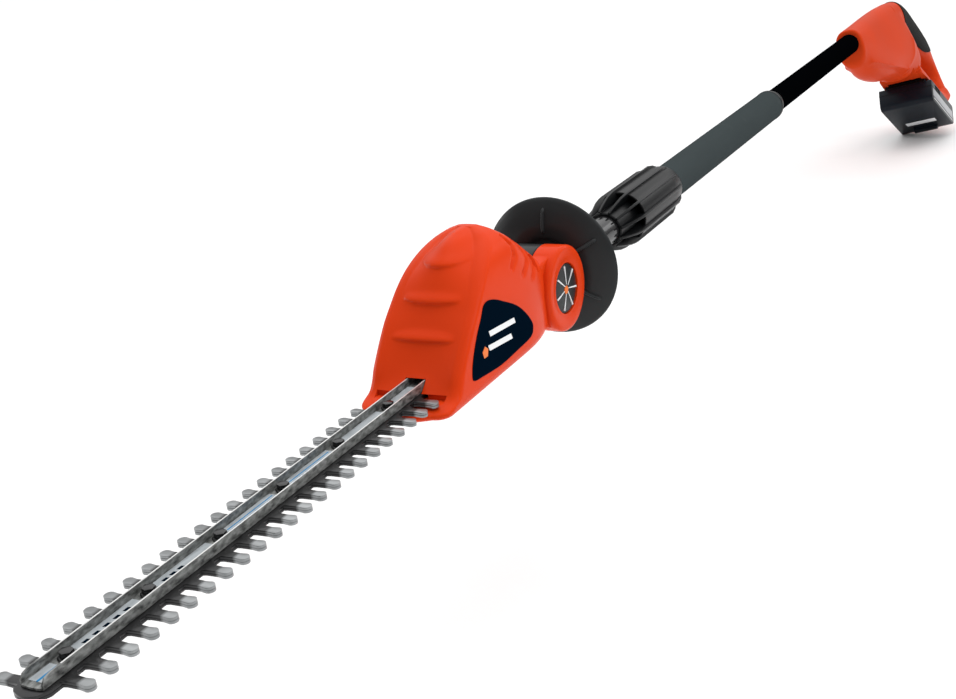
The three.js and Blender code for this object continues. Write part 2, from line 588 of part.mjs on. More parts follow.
const TRIGGER_HINGE = [-2398, 66];

function handleParts() {
  const outer = handleSolid(0);
  const inner = handleSolid(-HANDLE_WALL);
  let shell = outer.subtract(inner);
  shell = shell.subtract(rodX(REAR_TUBE_R + 0.3, TUBE_REAR.to - 20, -1960));
  // space for the battery, and a channel for its rails that is open to the rear
  const under = NECK_TOP - 0.6;
  shell = shell.subtract(extrude(batteryShape([[-60, 60], [-60, under], [260, under], [260, 60]]), -60, 60, 'xz'));
  shell = shell.subtract(extrude(batteryShape([[-3, -20], [-3, RAIL_TOP - 0.5], [260, RAIL_TOP - 0.5], [260, -20]]),
    -RAIL_HALF - 0.5, RAIL_HALF + 0.5, 'xz'));
  // trigger slot in the underside of the grip
  shell = shell.subtract(extrude(drawn([[-2388, 40], [-2484, 100], [-2470, 130], [-2380, 84]]), -8.6, 8.6, 'xz'));
  // lock-off button hole, right side
  shell = shell.subtract(rodY(8.4, -60, -5, LOCK_AT[0], AXIS_Z - LOCK_AT[1], 24));
  const left = shell.intersect(box(-2800, -1900, SPLIT, 90, -400, 150));
  const right = shell.intersect(box(-2800, -1900, -90, -SPLIT, -400, 150));
  return [left, right];
}

const LOCK_AT = [-2352, 22];
const NECK_TOP = -50;
const RAIL_TOP = -60;
const RAIL_HALF = 33;

function overmould() {
  const region = extrude(drawn([[-2384, -60], [-2380, 34], [-2428, 67], [-2480, 96], [-2515, 114], [-2558, 117],
    [-2640, 100], [-2500, -60]]), -60, 60, 'xz');
  return handleSolid(1.5).subtract(handleSolid(0.25)).subtract(handleSolid(0)).intersect(region);
}

function trigger() {
  const points = drawn([[-2392, 56], [-2440, 84], [-2474, 102], [-2476, 112], [-2462, 117], [-2444, 112],
    [-2422, 99], [-2406, 88], [-2391, 76], [-2386, 64]]);
  return extrude(points, -7.8, 7.8, 'xz', [], 1.5);
}

function lockButton() {
  return turnedY([[-14, 0], [-14, 7.9], [-27, 7.9], [-28.4, 6.6], [-28.4, 0]], LOCK_AT[0], AXIS_Z - LOCK_AT[1], 28);
}

function switchModule() {
  return extrude(drawn([[-2332, 13], [-2358, 15], [-2364, 24], [-2356, 34], [-2332, 32]]), -11, 11, 'xz');
}

function terminalBlock() {
  return extrude(batteryShape([[50, -65.4], [82, -65.4], [82, -61.4], [50, -61.4]]), -11, 11, 'xz');
}

function batteryCase() {
  const { length, height, half } = BATTERY;
  const body = extrude(batteryShape([[0, -height + 2], [0, -8], [4, -1.5], [9, 0], [length - 14, 0], [length - 4, -5],
    [length, -14], [length, -height + 0], [4, -height]]), -half, half, 'xz', [], 4);
  const neck = extrude(batteryShape([[3, -height + 3], [3, NECK_TOP], [length - 36, NECK_TOP],
    [length - 22, -height + 3]]), -RAIL_HALF - 7, RAIL_HALF + 7, 'xz', [], 1.5);
  const rails = extrude(batteryShape([[5, NECK_TOP + 3], [5, RAIL_TOP + 3], [8, RAIL_TOP], [96, RAIL_TOP],
    [96, NECK_TOP + 3]]), -RAIL_HALF, RAIL_HALF, 'xz');
  const foot = extrude(batteryShape([[length - 44, -2], [length - 44, 5], [length - 40, 6.5], [length - 20, 6.5],
    [length - 12, -2]]), -24, 24, 'xz');
  return union([body, neck, rails, foot]);
}

function latch(side) {
  return extrude(batteryShape([[30, -41], [60, -41], [62, -39], [62, -35], [60, -33], [30, -33], [28, -35], [28, -39]]),
    side * 46, side * 51.5, 'xz');
}

function latchPocket(side) {
  return extrude(batteryShape([[27, -42], [63, -42], [63, -32], [27, -32]]), side * 45.4 - side * 2.4, side * 60, 'xz');
}

// ---- assembly ------------------------------------------------------------------------------------
const group = new THREE.Group();
group.name = 'pole_hedge_trimmer';

function put(name, manifold, [colour, roughness, metalness]) {
  const material = new THREE.MeshStandardMaterial({ color: colour, roughness, metalness });
  material.name = name;
  const mesh = new THREE.Mesh(geometryOf(manifold), material);
  mesh.name = name;
  group.add(mesh);
}

put('guide_bar', guideBar(), STEEL);
put('retainer_strip', retainerStrip(), STEEL);
put('upper_blade', bladePlate(BLADE_GAP / 2), STEEL);
put('lower_blade', bladePlate(-BLADE_GAP / 2 - BLADE_T), STEEL);
for (let j = 0; j < BOLTS; j++) {
  put(`bar_bolt_${j + 1}`, barBolt(BOLT_FIRST - j * BOLT_PITCH), DARK_STEEL);
  put(`bar_nut_${j + 1}`, barNut(BOLT_FIRST - j * BOLT_PITCH), DARK_STEEL);
}
const [headLeft, headRight] = headShells();
put('head_shell_left', headLeft, ORANGE);
put('head_shell_right', headRight, ORANGE);
put('drive_gear', driveGear(), DARK_STEEL);
put('motor_pinion', motorPinion(), STEEL);
put('motor', motor(), DARK_STEEL);
put('gearbox_plate', gearboxPlate(), STEEL);
put('pivot_pin', rodY(PIN_R, -23.6, 23.6, PIVOT.x, PIVOT.z, 24), STEEL);
for (const [name, side] of [['left', 1], ['right', -1]]) {
  put(`pivot_button_${name}`, turnedY([[side * 29, 0], [side * 29, BUTTON_R - 0.5], [side * 29.6, BUTTON_R],
    [side * 43, BUTTON_R], [side * 44.4, BUTTON_R - 1.6], [side * 44.4, 0]], PIVOT.x, PIVOT.z, 40), DARK);
}
put('knuckle', knuckle(), DARK);
put('guard_disc', guardDisc(), BLACK);
put('front_tube', tube(FRONT_TUBE_R, FRONT_TUBE_WALL, TUBE_FRONT.from, TUBE_FRONT.to), TUBE);
put('collar_hub', collarHub(), BLACK);
put('collar_nut', collarNut(), BLACK);
put('rear_tube', tube(REAR_TUBE_R, REAR_TUBE_WALL, TUBE_REAR.from, TUBE_REAR.to), TUBE);
put('grip_sleeve', gripSleeve(), RUBBER);
put('sleeve_cap', sleeveCap(), BLACK);
const [handleLeft, handleRight] = handleParts();
put('handle_shell_left', rolled(handleLeft), ORANGE);
put('handle_shell_right', rolled(handleRight), ORANGE);
put('grip_overmould', rolled(overmould()), RUBBER);
put('trigger', rolled(trigger()), BLACK);
put('lock_off_button', rolled(lockButton()), BLACK);
put('switch_module', rolled(switchModule()), DARK);
put('terminal_block', rolled(terminalBlock()), DARK);
const pack = batteryCase().subtract(latchPocket(1)).subtract(latchPocket(-1));
put('battery_case', rolled(pack), BLACK);
put('battery_latch_left', rolled(latch(1)), DARK);
put('battery_latch_right', rolled(latch(-1)), DARK);

const bounds = new THREE.Box3().setFromObject(group);
const shift = [-(bounds.min.x + bounds.max.x) / 2, -(bounds.min.y + bounds.max.y) / 2, -bounds.min.z];
group.traverse((o) => { if (o.isMesh) o.geometry.translate(...shift); });

group.userData.shift = shift;

export default group;
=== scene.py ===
import math

import bmesh
import bpy
from mathutils import Matrix, Vector


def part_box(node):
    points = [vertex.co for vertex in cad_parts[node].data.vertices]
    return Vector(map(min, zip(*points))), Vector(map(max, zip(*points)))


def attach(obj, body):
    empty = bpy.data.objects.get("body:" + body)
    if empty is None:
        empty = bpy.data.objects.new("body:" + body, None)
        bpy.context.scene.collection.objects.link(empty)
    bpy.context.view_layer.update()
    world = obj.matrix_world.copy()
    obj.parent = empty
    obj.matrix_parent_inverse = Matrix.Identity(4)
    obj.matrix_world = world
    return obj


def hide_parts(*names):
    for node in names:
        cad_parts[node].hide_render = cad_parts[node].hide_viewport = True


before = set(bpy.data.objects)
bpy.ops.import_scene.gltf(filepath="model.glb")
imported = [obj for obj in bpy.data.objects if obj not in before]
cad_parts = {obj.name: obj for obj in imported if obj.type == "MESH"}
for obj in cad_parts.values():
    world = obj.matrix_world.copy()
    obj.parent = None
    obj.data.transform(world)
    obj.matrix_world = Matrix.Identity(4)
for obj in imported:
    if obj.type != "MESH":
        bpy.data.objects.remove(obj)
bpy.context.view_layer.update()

# ---- frame: millimetres from the front tooth, along the pole axis ----------------------------------
AXIS_Z = 14.7
HANDLE_ROLL = 12
FRONT_TUBE_START = -722.5
_lo, _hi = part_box("front_tube")
ORIGIN = Vector((_hi[0] * 1000 - FRONT_TUBE_START, (_lo[1] + _hi[1]) * 500,
                 (_lo[2] + _hi[2]) * 500 - AXIS_Z))
_turn = Matrix.Rotation(math.radians(HANDLE_ROLL), 4, "X")
ROLL = Matrix.Translation((0, 0, AXIS_Z)) @ _turn @ Matrix.Translation((0, 0, -AXIS_Z))
PIVOT_X, PIVOT_Z = -668, 18
DISC_X, DISC_Z = -722, 20
FRONT_R, REAR_R, SLEEVE_R = 17.3, 17.65, 22.4


def power(v, p):
    """A sine or cosine bent towards the corner of a superellipse of exponent p."""
    return math.copysign(abs(v) ** (2 / p), v)


def spline(table, key):
    """Catmull-Rom through a table whose first column rises."""
    n = len(table)
    k = 0
    while k < n - 2 and key > table[k + 1][0]:
        k += 1
    t = (key - table[k][0]) / (table[k + 1][0] - table[k][0])
    t = min(max(t, 0), 1)
    a, b, c, d = table[max(k - 1, 0)], table[k], table[k + 1], table[min(k + 2, n - 1)]
    out = []
    for i in range(len(b)):
        h = c[0] - b[0]
        mb = (c[i] - a[i]) / (c[0] - a[0]) * h if c[0] != a[0] else 0
        mc = (d[i] - b[i]) / (d[0] - b[0]) * h if d[0] != b[0] else 0
        t2, t3 = t * t, t * t * t
        value = (2 * t3 - 3 * t2 + 1) * b[i] + (t3 - 2 * t2 + t) * mb
        out.append(value + (3 * t2 - 2 * t3) * c[i] + (t3 - t2) * mc)
    return out


# ---- mesh helpers -----------------------------------------------------------------------------------
def mesh(name, verts, faces, angle=35):
    """Makes an object from points in the millimetre frame, with its faces turned outwards."""
    m = bpy.data.meshes.new(name)
    m.from_pydata([tuple((Vector(v) + ORIGIN) / 1000) for v in verts], [], faces)
    m.validate()
    o = bpy.data.objects.new(name, m)
    bpy.context.scene.collection.objects.link(o)
    bm = bmesh.new()
    bm.from_mesh(m)
    bmesh.ops.recalc_face_normals(bm, faces=bm.faces)
    bm.to_mesh(m)
    bm.free()
    shade(o, angle)
    return o


def shade(o, angle=35):
    """Smooth shading, with edges sharper than the angle kept crisp."""
    m = o.data
    for p in m.polygons:
        p.use_smooth = True
    if angle < 180:
        m.set_sharp_from_angle(angle=math.radians(angle))
    m.update()


def bake(o, angle=None):
    """Applies every modifier on a piece made here."""
    bpy.context.view_layer.update()
    done = bpy.data.meshes.new_from_object(o.evaluated_get(bpy.context.evaluated_depsgraph_get()))
    o.modifiers.clear()
    o.data = done
    if angle is not None:
        shade(o, angle)
    return o


def boolean(o, other, operation="DIFFERENCE"):
    mod = o.modifiers.new("cut", "BOOLEAN")
    mod.operation = operation
    mod.solver = "EXACT"
    mod.object = other
    bake(o)
    bpy.data.objects.remove(other)
    return o


def bevel(o, width, segments=2):
    mod = o.modifiers.new("bevel", "BEVEL")
    mod.width = width / 1000
    mod.segments = segments
    mod.limit_method = "ANGLE"
    mod.angle_limit = math.radians(35)
    mod.harden_normals = False
    return o


def join(name, objects):
    bm = bmesh.new()
    for o in objects:
        bm.from_mesh(o.data)
    m = bpy.data.meshes.new(name)
    bm.to_mesh(m)
    bm.free()
    for o in objects:
        bpy.data.objects.remove(o)
    o = bpy.data.objects.new(name, m)
    bpy.context.scene.collection.objects.link(o)
    return o


def lathe(name, profile, cx, cz, axis="X", n=96, angle=35):
    """Turns a closed or axis-to-axis profile of (along, radius) about X, Y or Z."""
    verts, faces = [], []
    closed = profile[0] == profile[-1]
    rows = profile[:-1] if closed else profile
    for a, r in rows:
        for i in range(n):
            t = 2 * math.pi * i / n
            u, w = r * math.cos(t), r * math.sin(t)
            if axis == "X":
                verts.append((a, u, cz + w))
            elif axis == "Y":
                verts.append((cx + u, a, cz + w))
            else:
                verts.append((cx + u, w, a))
    m = len(rows)
    for j in range(m if closed else m - 1):
        for i in range(n):
            k = (j + 1) % m
            faces.append((j * n + i, j * n + (i + 1) % n, k * n + (i + 1) % n, k * n + i))
    if not closed:
        for j in (0, m - 1):
            if rows[j][1] > 0.01:
                faces.append([j * n + i for i in range(n)])
    o = mesh(name, verts, faces, angle)
    if not closed:
        bm = bmesh.new()
        bm.from_mesh(o.data)
        bmesh.ops.remove_doubles(bm, verts=bm.verts, dist=1e-6)
        bmesh.ops.recalc_face_normals(bm, faces=bm.faces)
        bm.to_mesh(o.data)
        bm.free()
        shade(o, angle)
    return o


def loft(name, rings, angle=35):
    """A skin over rings of equal point count, closed at both ends."""
    n = len(rings[0])
    verts = [p for ring in rings for p in ring]
    faces = []
    for j in range(len(rings) - 1):
        for i in range(n):
            k = (i + 1) % n
            faces.append((j * n + i, j * n + k, (j + 1) * n + k, (j + 1) * n + i))
    faces.append(list(range(n)))
    faces.append([(len(rings) - 1) * n + i for i in range(n)])
    return mesh(name, verts, faces, angle)


def prism(name, outline, lo, hi, plane="xy"):
    """An outline in the xy or xz plane, drawn out along the third axis from lo to hi."""
    put = {"xy": lambda u, v, w: (u, v, w), "xz": lambda u, v, w: (u, w, v)}[plane]
    n = len(outline)
    verts = [put(u, v, lo) for u, v in outline] + [put(u, v, hi) for u, v in outline]
    faces = [list(range(n)), [n + i for i in range(n)]]
    faces += [(i, (i + 1) % n, n + (i + 1) % n, n + i) for i in range(n)]
    return mesh(name, verts, faces)


def box(name, x0, x1, y0, y1, z0, z1):
    return prism(name, [(x0, y0), (x1, y0), (x1, y1), (x0, y1)], z0, z1)


def smooth_loop(points, steps):
    """Rounds a polygon with a closed Catmull-Rom curve."""
    n = len(points)
    out = []
    for i in range(n):
        a, b, c, d = (Vector(points[(i + k) % n]) for k in (-1, 0, 1, 2))
        for s in range(steps):
            t = s / steps
            out.append(tuple(0.5 * ((2 * b) + (c - a) * t + (2 * a - 5 * b + 4 * c - d) * t * t
                                    + (3 * b - a - 3 * c + d) * t ** 3)))
    return out


def near_path(path, u, v):
    """Distance from a point to the nearest stretch of a path."""
    best = 1e9
    for (ax, ay), (bx, by) in zip(path, path[1:]):
        dx, dy = bx - ax, by - ay
        t = min(max(((u - ax) * dx + (v - ay) * dy) / (dx * dx + dy * dy), 0), 1)
        best = min(best, math.hypot(u - ax - t * dx, v - ay - t * dy))
    return best


# ---- materials --------------------------------------------------------------------------------------
def material(name, colour, rough, metal=0.0, vary=0.06, grain=(700, 0.05), blotch=9, rough_vary=0.08,
             stretch=(1, 1, 1), specular=0.5, wear=0.0):
    """Cloudy colour and roughness, a fine bumpy grain (scale, strength), and paler worn specks."""
    m = bpy.data.materials.new(name)
    m.use_nodes = True
    nodes, links = m.node_tree.nodes, m.node_tree.links
    shader = nodes["Principled BSDF"]
    shader.inputs["Metallic"].default_value = metal
    shader.inputs["Specular IOR Level"].default_value = specular
    where = nodes.new("ShaderNodeTexCoord")
    scale = nodes.new("ShaderNodeMapping")
    scale.inputs["Scale"].default_value = stretch
    links.new(where.outputs["Object"], scale.inputs["Vector"])
    cloud = nodes.new("ShaderNodeTexNoise")
    cloud.inputs["Scale"].default_value = blotch
    cloud.inputs["Detail"].default_value = 6
    links.new(scale.outputs["Vector"], cloud.inputs["Vector"])
    ramp = nodes.new("ShaderNodeValToRGB")
    ramp.color_ramp.elements[0].position = 0.3
    ramp.color_ramp.elements[1].position = 0.72
    low = [c * (1 - vary) for c in colour]
    high = [min(c * (1 + vary), 1) for c in colour]
    ramp.color_ramp.elements[0].color = (*low, 1)
    ramp.color_ramp.elements[1].color = (*high, 1)
    links.new(cloud.outputs["Fac"], ramp.inputs["Fac"])
    colour_out = ramp.outputs["Color"]
    fine = nodes.new("ShaderNodeTexNoise")
    fine.inputs["Scale"].default_value = grain[0]
    fine.inputs["Detail"].default_value = 3
    links.new(scale.outputs["Vector"], fine.inputs["Vector"])
    if wear:
        specks = nodes.new("ShaderNodeValToRGB")
        specks.color_ramp.elements[0].position = 0.62
        specks.color_ramp.elements[1].position = 0.74
        scratch = nodes.new("ShaderNodeTexNoise")
        scratch.inputs["Scale"].default_value = 55
        scratch.inputs["Detail"].default_value = 8
        links.new(where.outputs["Object"], scratch.inputs["Vector"])
        links.new(scratch.outputs["Fac"], specks.inputs["Fac"])
        weak = nodes.new("ShaderNodeMath")
        weak.operation = "MULTIPLY"
        weak.inputs[1].default_value = wear
        links.new(specks.outputs["Color"], weak.inputs[0])
        mix = nodes.new("ShaderNodeMix")
        mix.data_type = "RGBA"
        mix.inputs["B"].default_value = (0.5, 0.5, 0.5, 1)
        links.new(weak.outputs["Value"], mix.inputs["Factor"])
        links.new(colour_out, mix.inputs["A"])
        colour_out = mix.outputs["Result"]
    links.new(colour_out, shader.inputs["Base Color"])
    spread = nodes.new("ShaderNodeMapRange")
    spread.inputs["To Min"].default_value = max(rough - rough_vary, 0.02)
    spread.inputs["To Max"].default_value = min(rough + rough_vary, 1)
    links.new(cloud.outputs["Fac"], spread.inputs["Value"])
    links.new(spread.outputs["Result"], shader.inputs["Roughness"])
    bump = nodes.new("ShaderNodeBump")
    bump.inputs["Strength"].default_value = grain[1]
    bump.inputs["Distance"].default_value = 0.0004
    links.new(fine.outputs["Fac"], bump.inputs["Height"])
    links.new(bump.outputs["Normal"], shader.inputs["Normal"])
    return m


def paint(o, m):
    o.data.materials.clear()
    o.data.materials.append(m)
    for p in o.data.polygons:
        p.material_index = 0


def node_paint(name, m):
    """Paints a CAD node that keeps its own shape."""
    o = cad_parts[name]
    o.data.materials.clear()
    o.data.materials.append(m)
    return o


ORANGE = material("orange_gloss", (0.66, 0.044, 0.006), 0.24, vary=0.03, grain=(420, 0.03), specular=0.05)
HANDLE_ORANGE = material("orange_satin", (0.56, 0.045, 0.008), 0.34, vary=0.05, grain=(900, 0.06),
                         specular=0.02)
CHARCOAL = material("charcoal_plastic", (0.022, 0.0245, 0.0255), 0.30, vary=0.15, grain=(1400, 0.14),
                    specular=0.14)
BLACK = material("black_plastic", (0.004, 0.0045, 0.005), 0.30, vary=0.15, grain=(1100, 0.12),
                 specular=0.14)
TUBE_SATIN = material("tube_satin", (0.046, 0.056, 0.058), 0.46, vary=0.12, grain=(1800, 0.10),
                      rough_vary=0.05, specular=0.0,
                      stretch=(0.2, 1, 1), wear=0.01)
TUBE_GLOSS = material("tube_gloss", (0.0008, 0.001, 0.0014), 0.24, vary=0.2, grain=(1500, 0.03),
                      rough_vary=0.04, specular=0.0,
                      stretch=(0.2, 1, 1))
TUBE_GREY = material("tube_anodised", (0.018, 0.018, 0.019), 0.13, metal=0.3, vary=0.1, grain=(2200, 0.04),
                     specular=0.45,
                     rough_vary=0.03, stretch=(0.05, 1, 1), wear=0.02)
RUBBER = material("soft_rubber", (0.007, 0.0065, 0.0065), 0.58, vary=0.2, grain=(2600, 0.45), specular=0.04)
NAVY = material("navy_panel", (0.0008, 0.0050, 0.012), 0.30, vary=0.1, grain=(600, 0.02), specular=0.0)
WHITE = material("white_print", (0.80, 0.81, 0.82), 0.42, vary=0.02, grain=(600, 0.02))
BADGE = material("orange_print", (0.80, 0.17, 0.02), 0.38, vary=0.03, grain=(600, 0.02), specular=0.2)
LABEL = material("silver_label", (0.36, 0.37, 0.39), 0.36, metal=0.2, vary=0.16, grain=(900, 0.05),
                 blotch=60)
BATTERY = material("battery_plastic", (0.004, 0.007, 0.012), 0.34, vary=0.15, grain=(1500, 0.2),
                   specular=0.16)
STEEL_DARK = material("blackened_steel", (0.008, 0.008, 0.009), 0.22, vary=0.3, grain=(1400, 0.10),
                      specular=0.45, wear=0.06)
STEEL = material("bright_steel", (0.50, 0.50, 0.51), 0.28, metal=1.0, vary=0.12, grain=(1600, 0.12),
                 blotch=30,
                 stretch=(0.08, 1, 1))
BAR = material("bar_steel", (0.19, 0.195, 0.19), 0.38, metal=0.35, vary=0.75, grain=(1700, 0.25),
               blotch=330,
               stretch=(0.45, 1, 1), specular=0.3, wear=0.45)
# pale steel for the wall-top strips: partly the bare edge colour, partly a painted highlight
BAR_EDGE_AND_HIGHLIGHT = material("bar_edge_and_painted_highlight", (0.72, 0.72, 0.71), 0.3, metal=0.5, vary=0.1, grain=(1200, 0.08),
                    blotch=80)
BAR_LABEL = material("bar_label", (0.36, 0.39, 0.41), 0.45, vary=0.22, grain=(900, 0.03), blotch=160,
                     stretch=(0.4, 1, 1),
                     specular=0.2)
BLUE = material("blue_line", (0.01, 0.20, 0.44), 0.42, vary=0.05, grain=(900, 0.03), specular=0.2)


def blade_steel():
    """Ground steel: fine grinding lines across the teeth, with a painted shadow that turns the teeth roots
    and the middle near-black, where the channel walls shade them.
    """
    m = material("ground_blade_steel_painted_root_shadow", (0.27, 0.28, 0.285), 0.30, metal=0.65, vary=0.16, grain=(900, 0.20),
                 blotch=60,
                 stretch=(1, 0.06, 1), rough_vary=0.10)
    nodes, links = m.node_tree.nodes, m.node_tree.links
    shader = nodes["Principled BSDF"]
    source = shader.inputs["Base Color"].links[0].from_socket
    where = nodes.new("ShaderNodeTexCoord")
    split = nodes.new("ShaderNodeSeparateXYZ")
    links.new(where.outputs["Object"], split.inputs["Vector"])
    shift = nodes.new("ShaderNodeMath")
    shift.operation = "SUBTRACT"
    shift.inputs[1].default_value = ORIGIN.y / 1000
    links.new(split.outputs["Y"], shift.inputs[0])
    side = nodes.new("ShaderNodeMath")
    side.operation = "ABSOLUTE"
    links.new(shift.outputs["Value"], side.inputs[0])
    # painted shadow: within 22.5 mm of the centre line (the teeth roots) the steel is near-black, fading to
    # plain steel by 25.5 mm
    root_shadow_band = nodes.new("ShaderNodeMapRange")
    root_shadow_band.inputs["From Min"].default_value = 0.0225
    root_shadow_band.inputs["From Max"].default_value = 0.0255
    links.new(side.outputs["Value"], root_shadow_band.inputs["Value"])
    mix = nodes.new("ShaderNodeMix")
    mix.data_type = "RGBA"
    mix.inputs["A"].default_value = (0.03, 0.03, 0.031, 1)
    links.new(root_shadow_band.outputs["Result"], mix.inputs["Factor"])
    links.new(source, mix.inputs["B"])
    links.new(mix.outputs["Result"], shader.inputs["Base Color"])
    return m


BLADE = blade_steel()

# ---- blades and guide bar ---------------------------------------------------------------------------
PITCH, REACH, SPINE, HALF = 19.05, 34.2, 12.5, 4.1
BLADE_THICK = 2.1
BOLT_PITCH, FIRST_BOLT, BOLTS = 4 * PITCH, -14.3, 6
BOLT_SEAT = 4.5
SLOT_REACH, SLOT_R = 8.4, 3.4


def bolt_x(index):
    return FIRST_BOLT - index * BOLT_PITCH


def tooth_side(side, first, count):
    """Outline of one row of round-tipped teeth, from the front tooth to the rear one."""
    points = []
    for k in range(count):
        x = first - k * PITCH
        points += [(x + 4.6, side * SPINE), (x + 3.7, side * (SPINE + 2.5)),
                   (x + 3.3, side * (REACH - 9.5))]
        for s in range(11):
            a = -0.35 + (math.pi + 0.7) * s / 10
            points.append((x + HALF * math.cos(a), side * (REACH - HALF + HALF * math.sin(a))))
        points += [(x - 3.3, side * (REACH - 9.5)), (x - 3.7, side * (SPINE + 6)),
                   (x - 5.6, side * (SPINE + 3.0)),
                   (x - 8.6, side * SPINE)]
    return points


def blade(name, z_low, body):
    left = tooth_side(1, 0, 23)
    right = list(reversed(tooth_side(-1, 0.6 * PITCH, 22)))
    nose = [(19.5, -SPINE), (22, -10), (23.6, -5.5), (24.5, 0), (23.6, 4.5), (21, 9), (14, SPINE)]
    tail_top = [(-466, SPINE), (-472, 10), (-490, 10), (-552, 10)]
    tail_low = [(-552, -10), (-490, -10), (-462, -10)]
    o = prism(name, left + tail_top + tail_low + right + nose, z_low, z_low + BLADE_THICK)
    for j in range(BOLTS):
        slot_points = []
        for end in (1, -1):
            for s in range(9):
                a = (s / 8 - end / 2) * math.pi
                slot_points.append((bolt_x(j) + end * SLOT_REACH + SLOT_R * math.cos(a),
                                    SLOT_R * math.sin(a)))
        boolean(o, prism("slot", slot_points, z_low - 1, z_low + 3))
    bevel(o, 0.35, 2)
    bake(o, 30)
    paint(o, BLADE)
    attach(o, body)
    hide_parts(name)
    return o


blade("upper_blade", 0.15, "blade_top").name = "upper_blade_ground"
blade("lower_blade", -2.25, "blade_bottom").name = "lower_blade_ground"

bevel(node_paint("guide_bar", BAR), 0.45)
bevel(node_paint("retainer_strip", STEEL), 0.3)


def bar_bolt(index):
    x, seat = bolt_x(index - 1), BOLT_SEAT
    parts = [lathe("flange", [(seat, 0), (seat, 6.4), (seat + 0.8, 6.4), (seat + 1.5, 5.6),
                              (seat + 1.7, 0)],
                   x, 0, "Z", 40)]
    corners = [math.radians(60 * k + 10) for k in range(6)]
    head = prism("hex", [(x + 4.97 * math.cos(a), 4.97 * math.sin(a)) for a in corners], seat + 1.2,
                 seat + 5.2)
    bevel(head, 0.5, 2)
    bake(head, 30)
    parts.append(head)
    parts.append(lathe("shank", [(-7.0, 0), (-7.0, 2.1), (-6.6, 2.5), (seat + 1, 2.5), (seat + 1, 0)], x, 0,
                       "Z", 24))
    o = join(f"bar_bolt_head_{index}", parts)
    shade(o, 30)
    paint(o, STEEL_DARK)
    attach(o, "head")
    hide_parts(f"bar_bolt_{index}")
    bevel(node_paint(f"bar_nut_{index}", STEEL_DARK), 0.4, 2)


for i in range(1, BOLTS + 1):
    bar_bolt(i)

# printed strip on the channel floor, with thin blue lines in front and over two of the middle stretches
PRINT_LOW, PRINT_TOP = 4.27, 4.42
MARK_LOW, LINE_TOP, MARK_TOP = 4.40, 4.52, 4.53
BOLT_CLEAR = 9
strips = [box("strip", -6, 12, -7.0, 7.0, PRINT_LOW, PRINT_TOP),
          box("strip", -440, bolt_x(5) - BOLT_CLEAR, -7.4, 7.4, PRINT_LOW, PRINT_TOP)]
blues = [box("line", -5, 12, -0.6, 1.2, MARK_LOW, LINE_TOP)]
marks = []
for j in range(BOLTS - 1):
    x1, x0 = bolt_x(j) - BOLT_CLEAR, bolt_x(j + 1) + BOLT_CLEAR
    strips.append(box("strip", x0, x1, -7.4, 7.4, PRINT_LOW, PRINT_TOP))
    if j in (2, 3):
        blues.append(box("line", x0 + 2, x1 - 2, -0.6, 1.6, MARK_LOW, LINE_TOP))
        blues.append(box("line", x0 + 2, x1 - 2, -3.6, -2.6, MARK_LOW, LINE_TOP))
    if j in (0, 1):
        count, spacing = ((5, 9.5), (3, 8))[j]
        for k in range(count):
            a = x1 - 6 - k * spacing
            marks.append(prism("mark", [(a, -3.2), (a - 5, -3.2), (a - 6.5, 2.4), (a - 1.5, 2.4)], MARK_LOW,
                               MARK_TOP))
for name, group, m in (("bar_floor_print", strips, BAR_LABEL), ("bar_blue_lines", blues, BLUE),
                       ("bar_marks", marks, NAVY)):
    o = join(name, group)
    paint(o, m)
    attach(o, "head")

# pale strips on the channel wall tops: bare steel edges, painted paler than the bar as a painted highlight
# along them
rim_outline = [(-462, 10.3), (-1, 10.3), (-1, 10.75), (-462, 10.75)]
rims = [prism("rim", rim_outline, lo, hi, "xz") for lo, hi in ((-9.4, -8.3), (8.3, 9.4))]
o = join("bar_bright_edges", rims)
paint(o, BAR_EDGE_AND_HIGHLIGHT)
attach(o, "head")

# ---- head housing -------------------------------------------------------------------------------------
HEAD = [
    (-15.5, -410, -420, -636, 37, 10), (-12, -404, -413, -650, 43, 13), (-7, -404, -412, -658, 45.5, 13),
    (-2, -423, -427, -660, 46, 11), (4, -434, -434, -662, 46, 10), (18, -449, -443, -664, 46, 9),
    (47, -469, -467, -660, 46, 9), (62, -480, -482, -643, 45.3, 10), (73, -487, -493, -627, 44.2, 11),
    (84, -495, -506, -611, 42, 12), (92.5, -502, -519, -598, 39, 13), (99.5, -509, -532, -588, 34.5, 13),
    (105, -517, -543, -580, 28, 11), (109.5, -527, -551, -574, 20, 8), (113, -541, -558, -569, 10, 4),
]
GROOVES = [[(-570, 101), (-574, 92), (-571, 83), (-560, 75)],
           [(-592, 87), (-597, 79), (-593, 70), (-579, 63)],
           [(-611, 71), (-612, 65), (-608, 59), (-598, 53)]]
RIBS = [(96, 25), (69, 29), (41, 31)]


FRONT_STEPS, CORNER_STEPS, SIDE_STEPS, REAR_STEPS = 22, 12, 56, 46
HEAD_TOP = 113


def head_side(z):
    """Half a level section of the housing, from front centre round to rear centre, with its zones."""
    _, centre, corner, rear, w, rc = spline(HEAD, z)
    mid = max(-566, rear + 3)
    if mid > corner - rc - 3:
        mid = (corner - rc + rear) / 2
    side = []
    for i in range(FRONT_STEPS):
        u = i / FRONT_STEPS
        side.append((centre + (corner - centre) * u ** 2, u * (w - rc), 0))
    for i in range(CORNER_STEPS):
        a = i / CORNER_STEPS * math.pi / 2
        side.append((corner - rc + rc * math.cos(a), w - rc + rc * math.sin(a), 1))
    for i in range(SIDE_STEPS):
        side.append((corner - rc + (mid - corner + rc) * i / SIDE_STEPS, w, 2))
    for i in range(REAR_STEPS):
        a = i / REAR_STEPS * math.pi / 2
        side.append((mid + (rear - mid) * power(math.sin(a), 2.5), w * power(math.cos(a), 2.5), 2))
    side.append((rear, 0, 3))
    return side


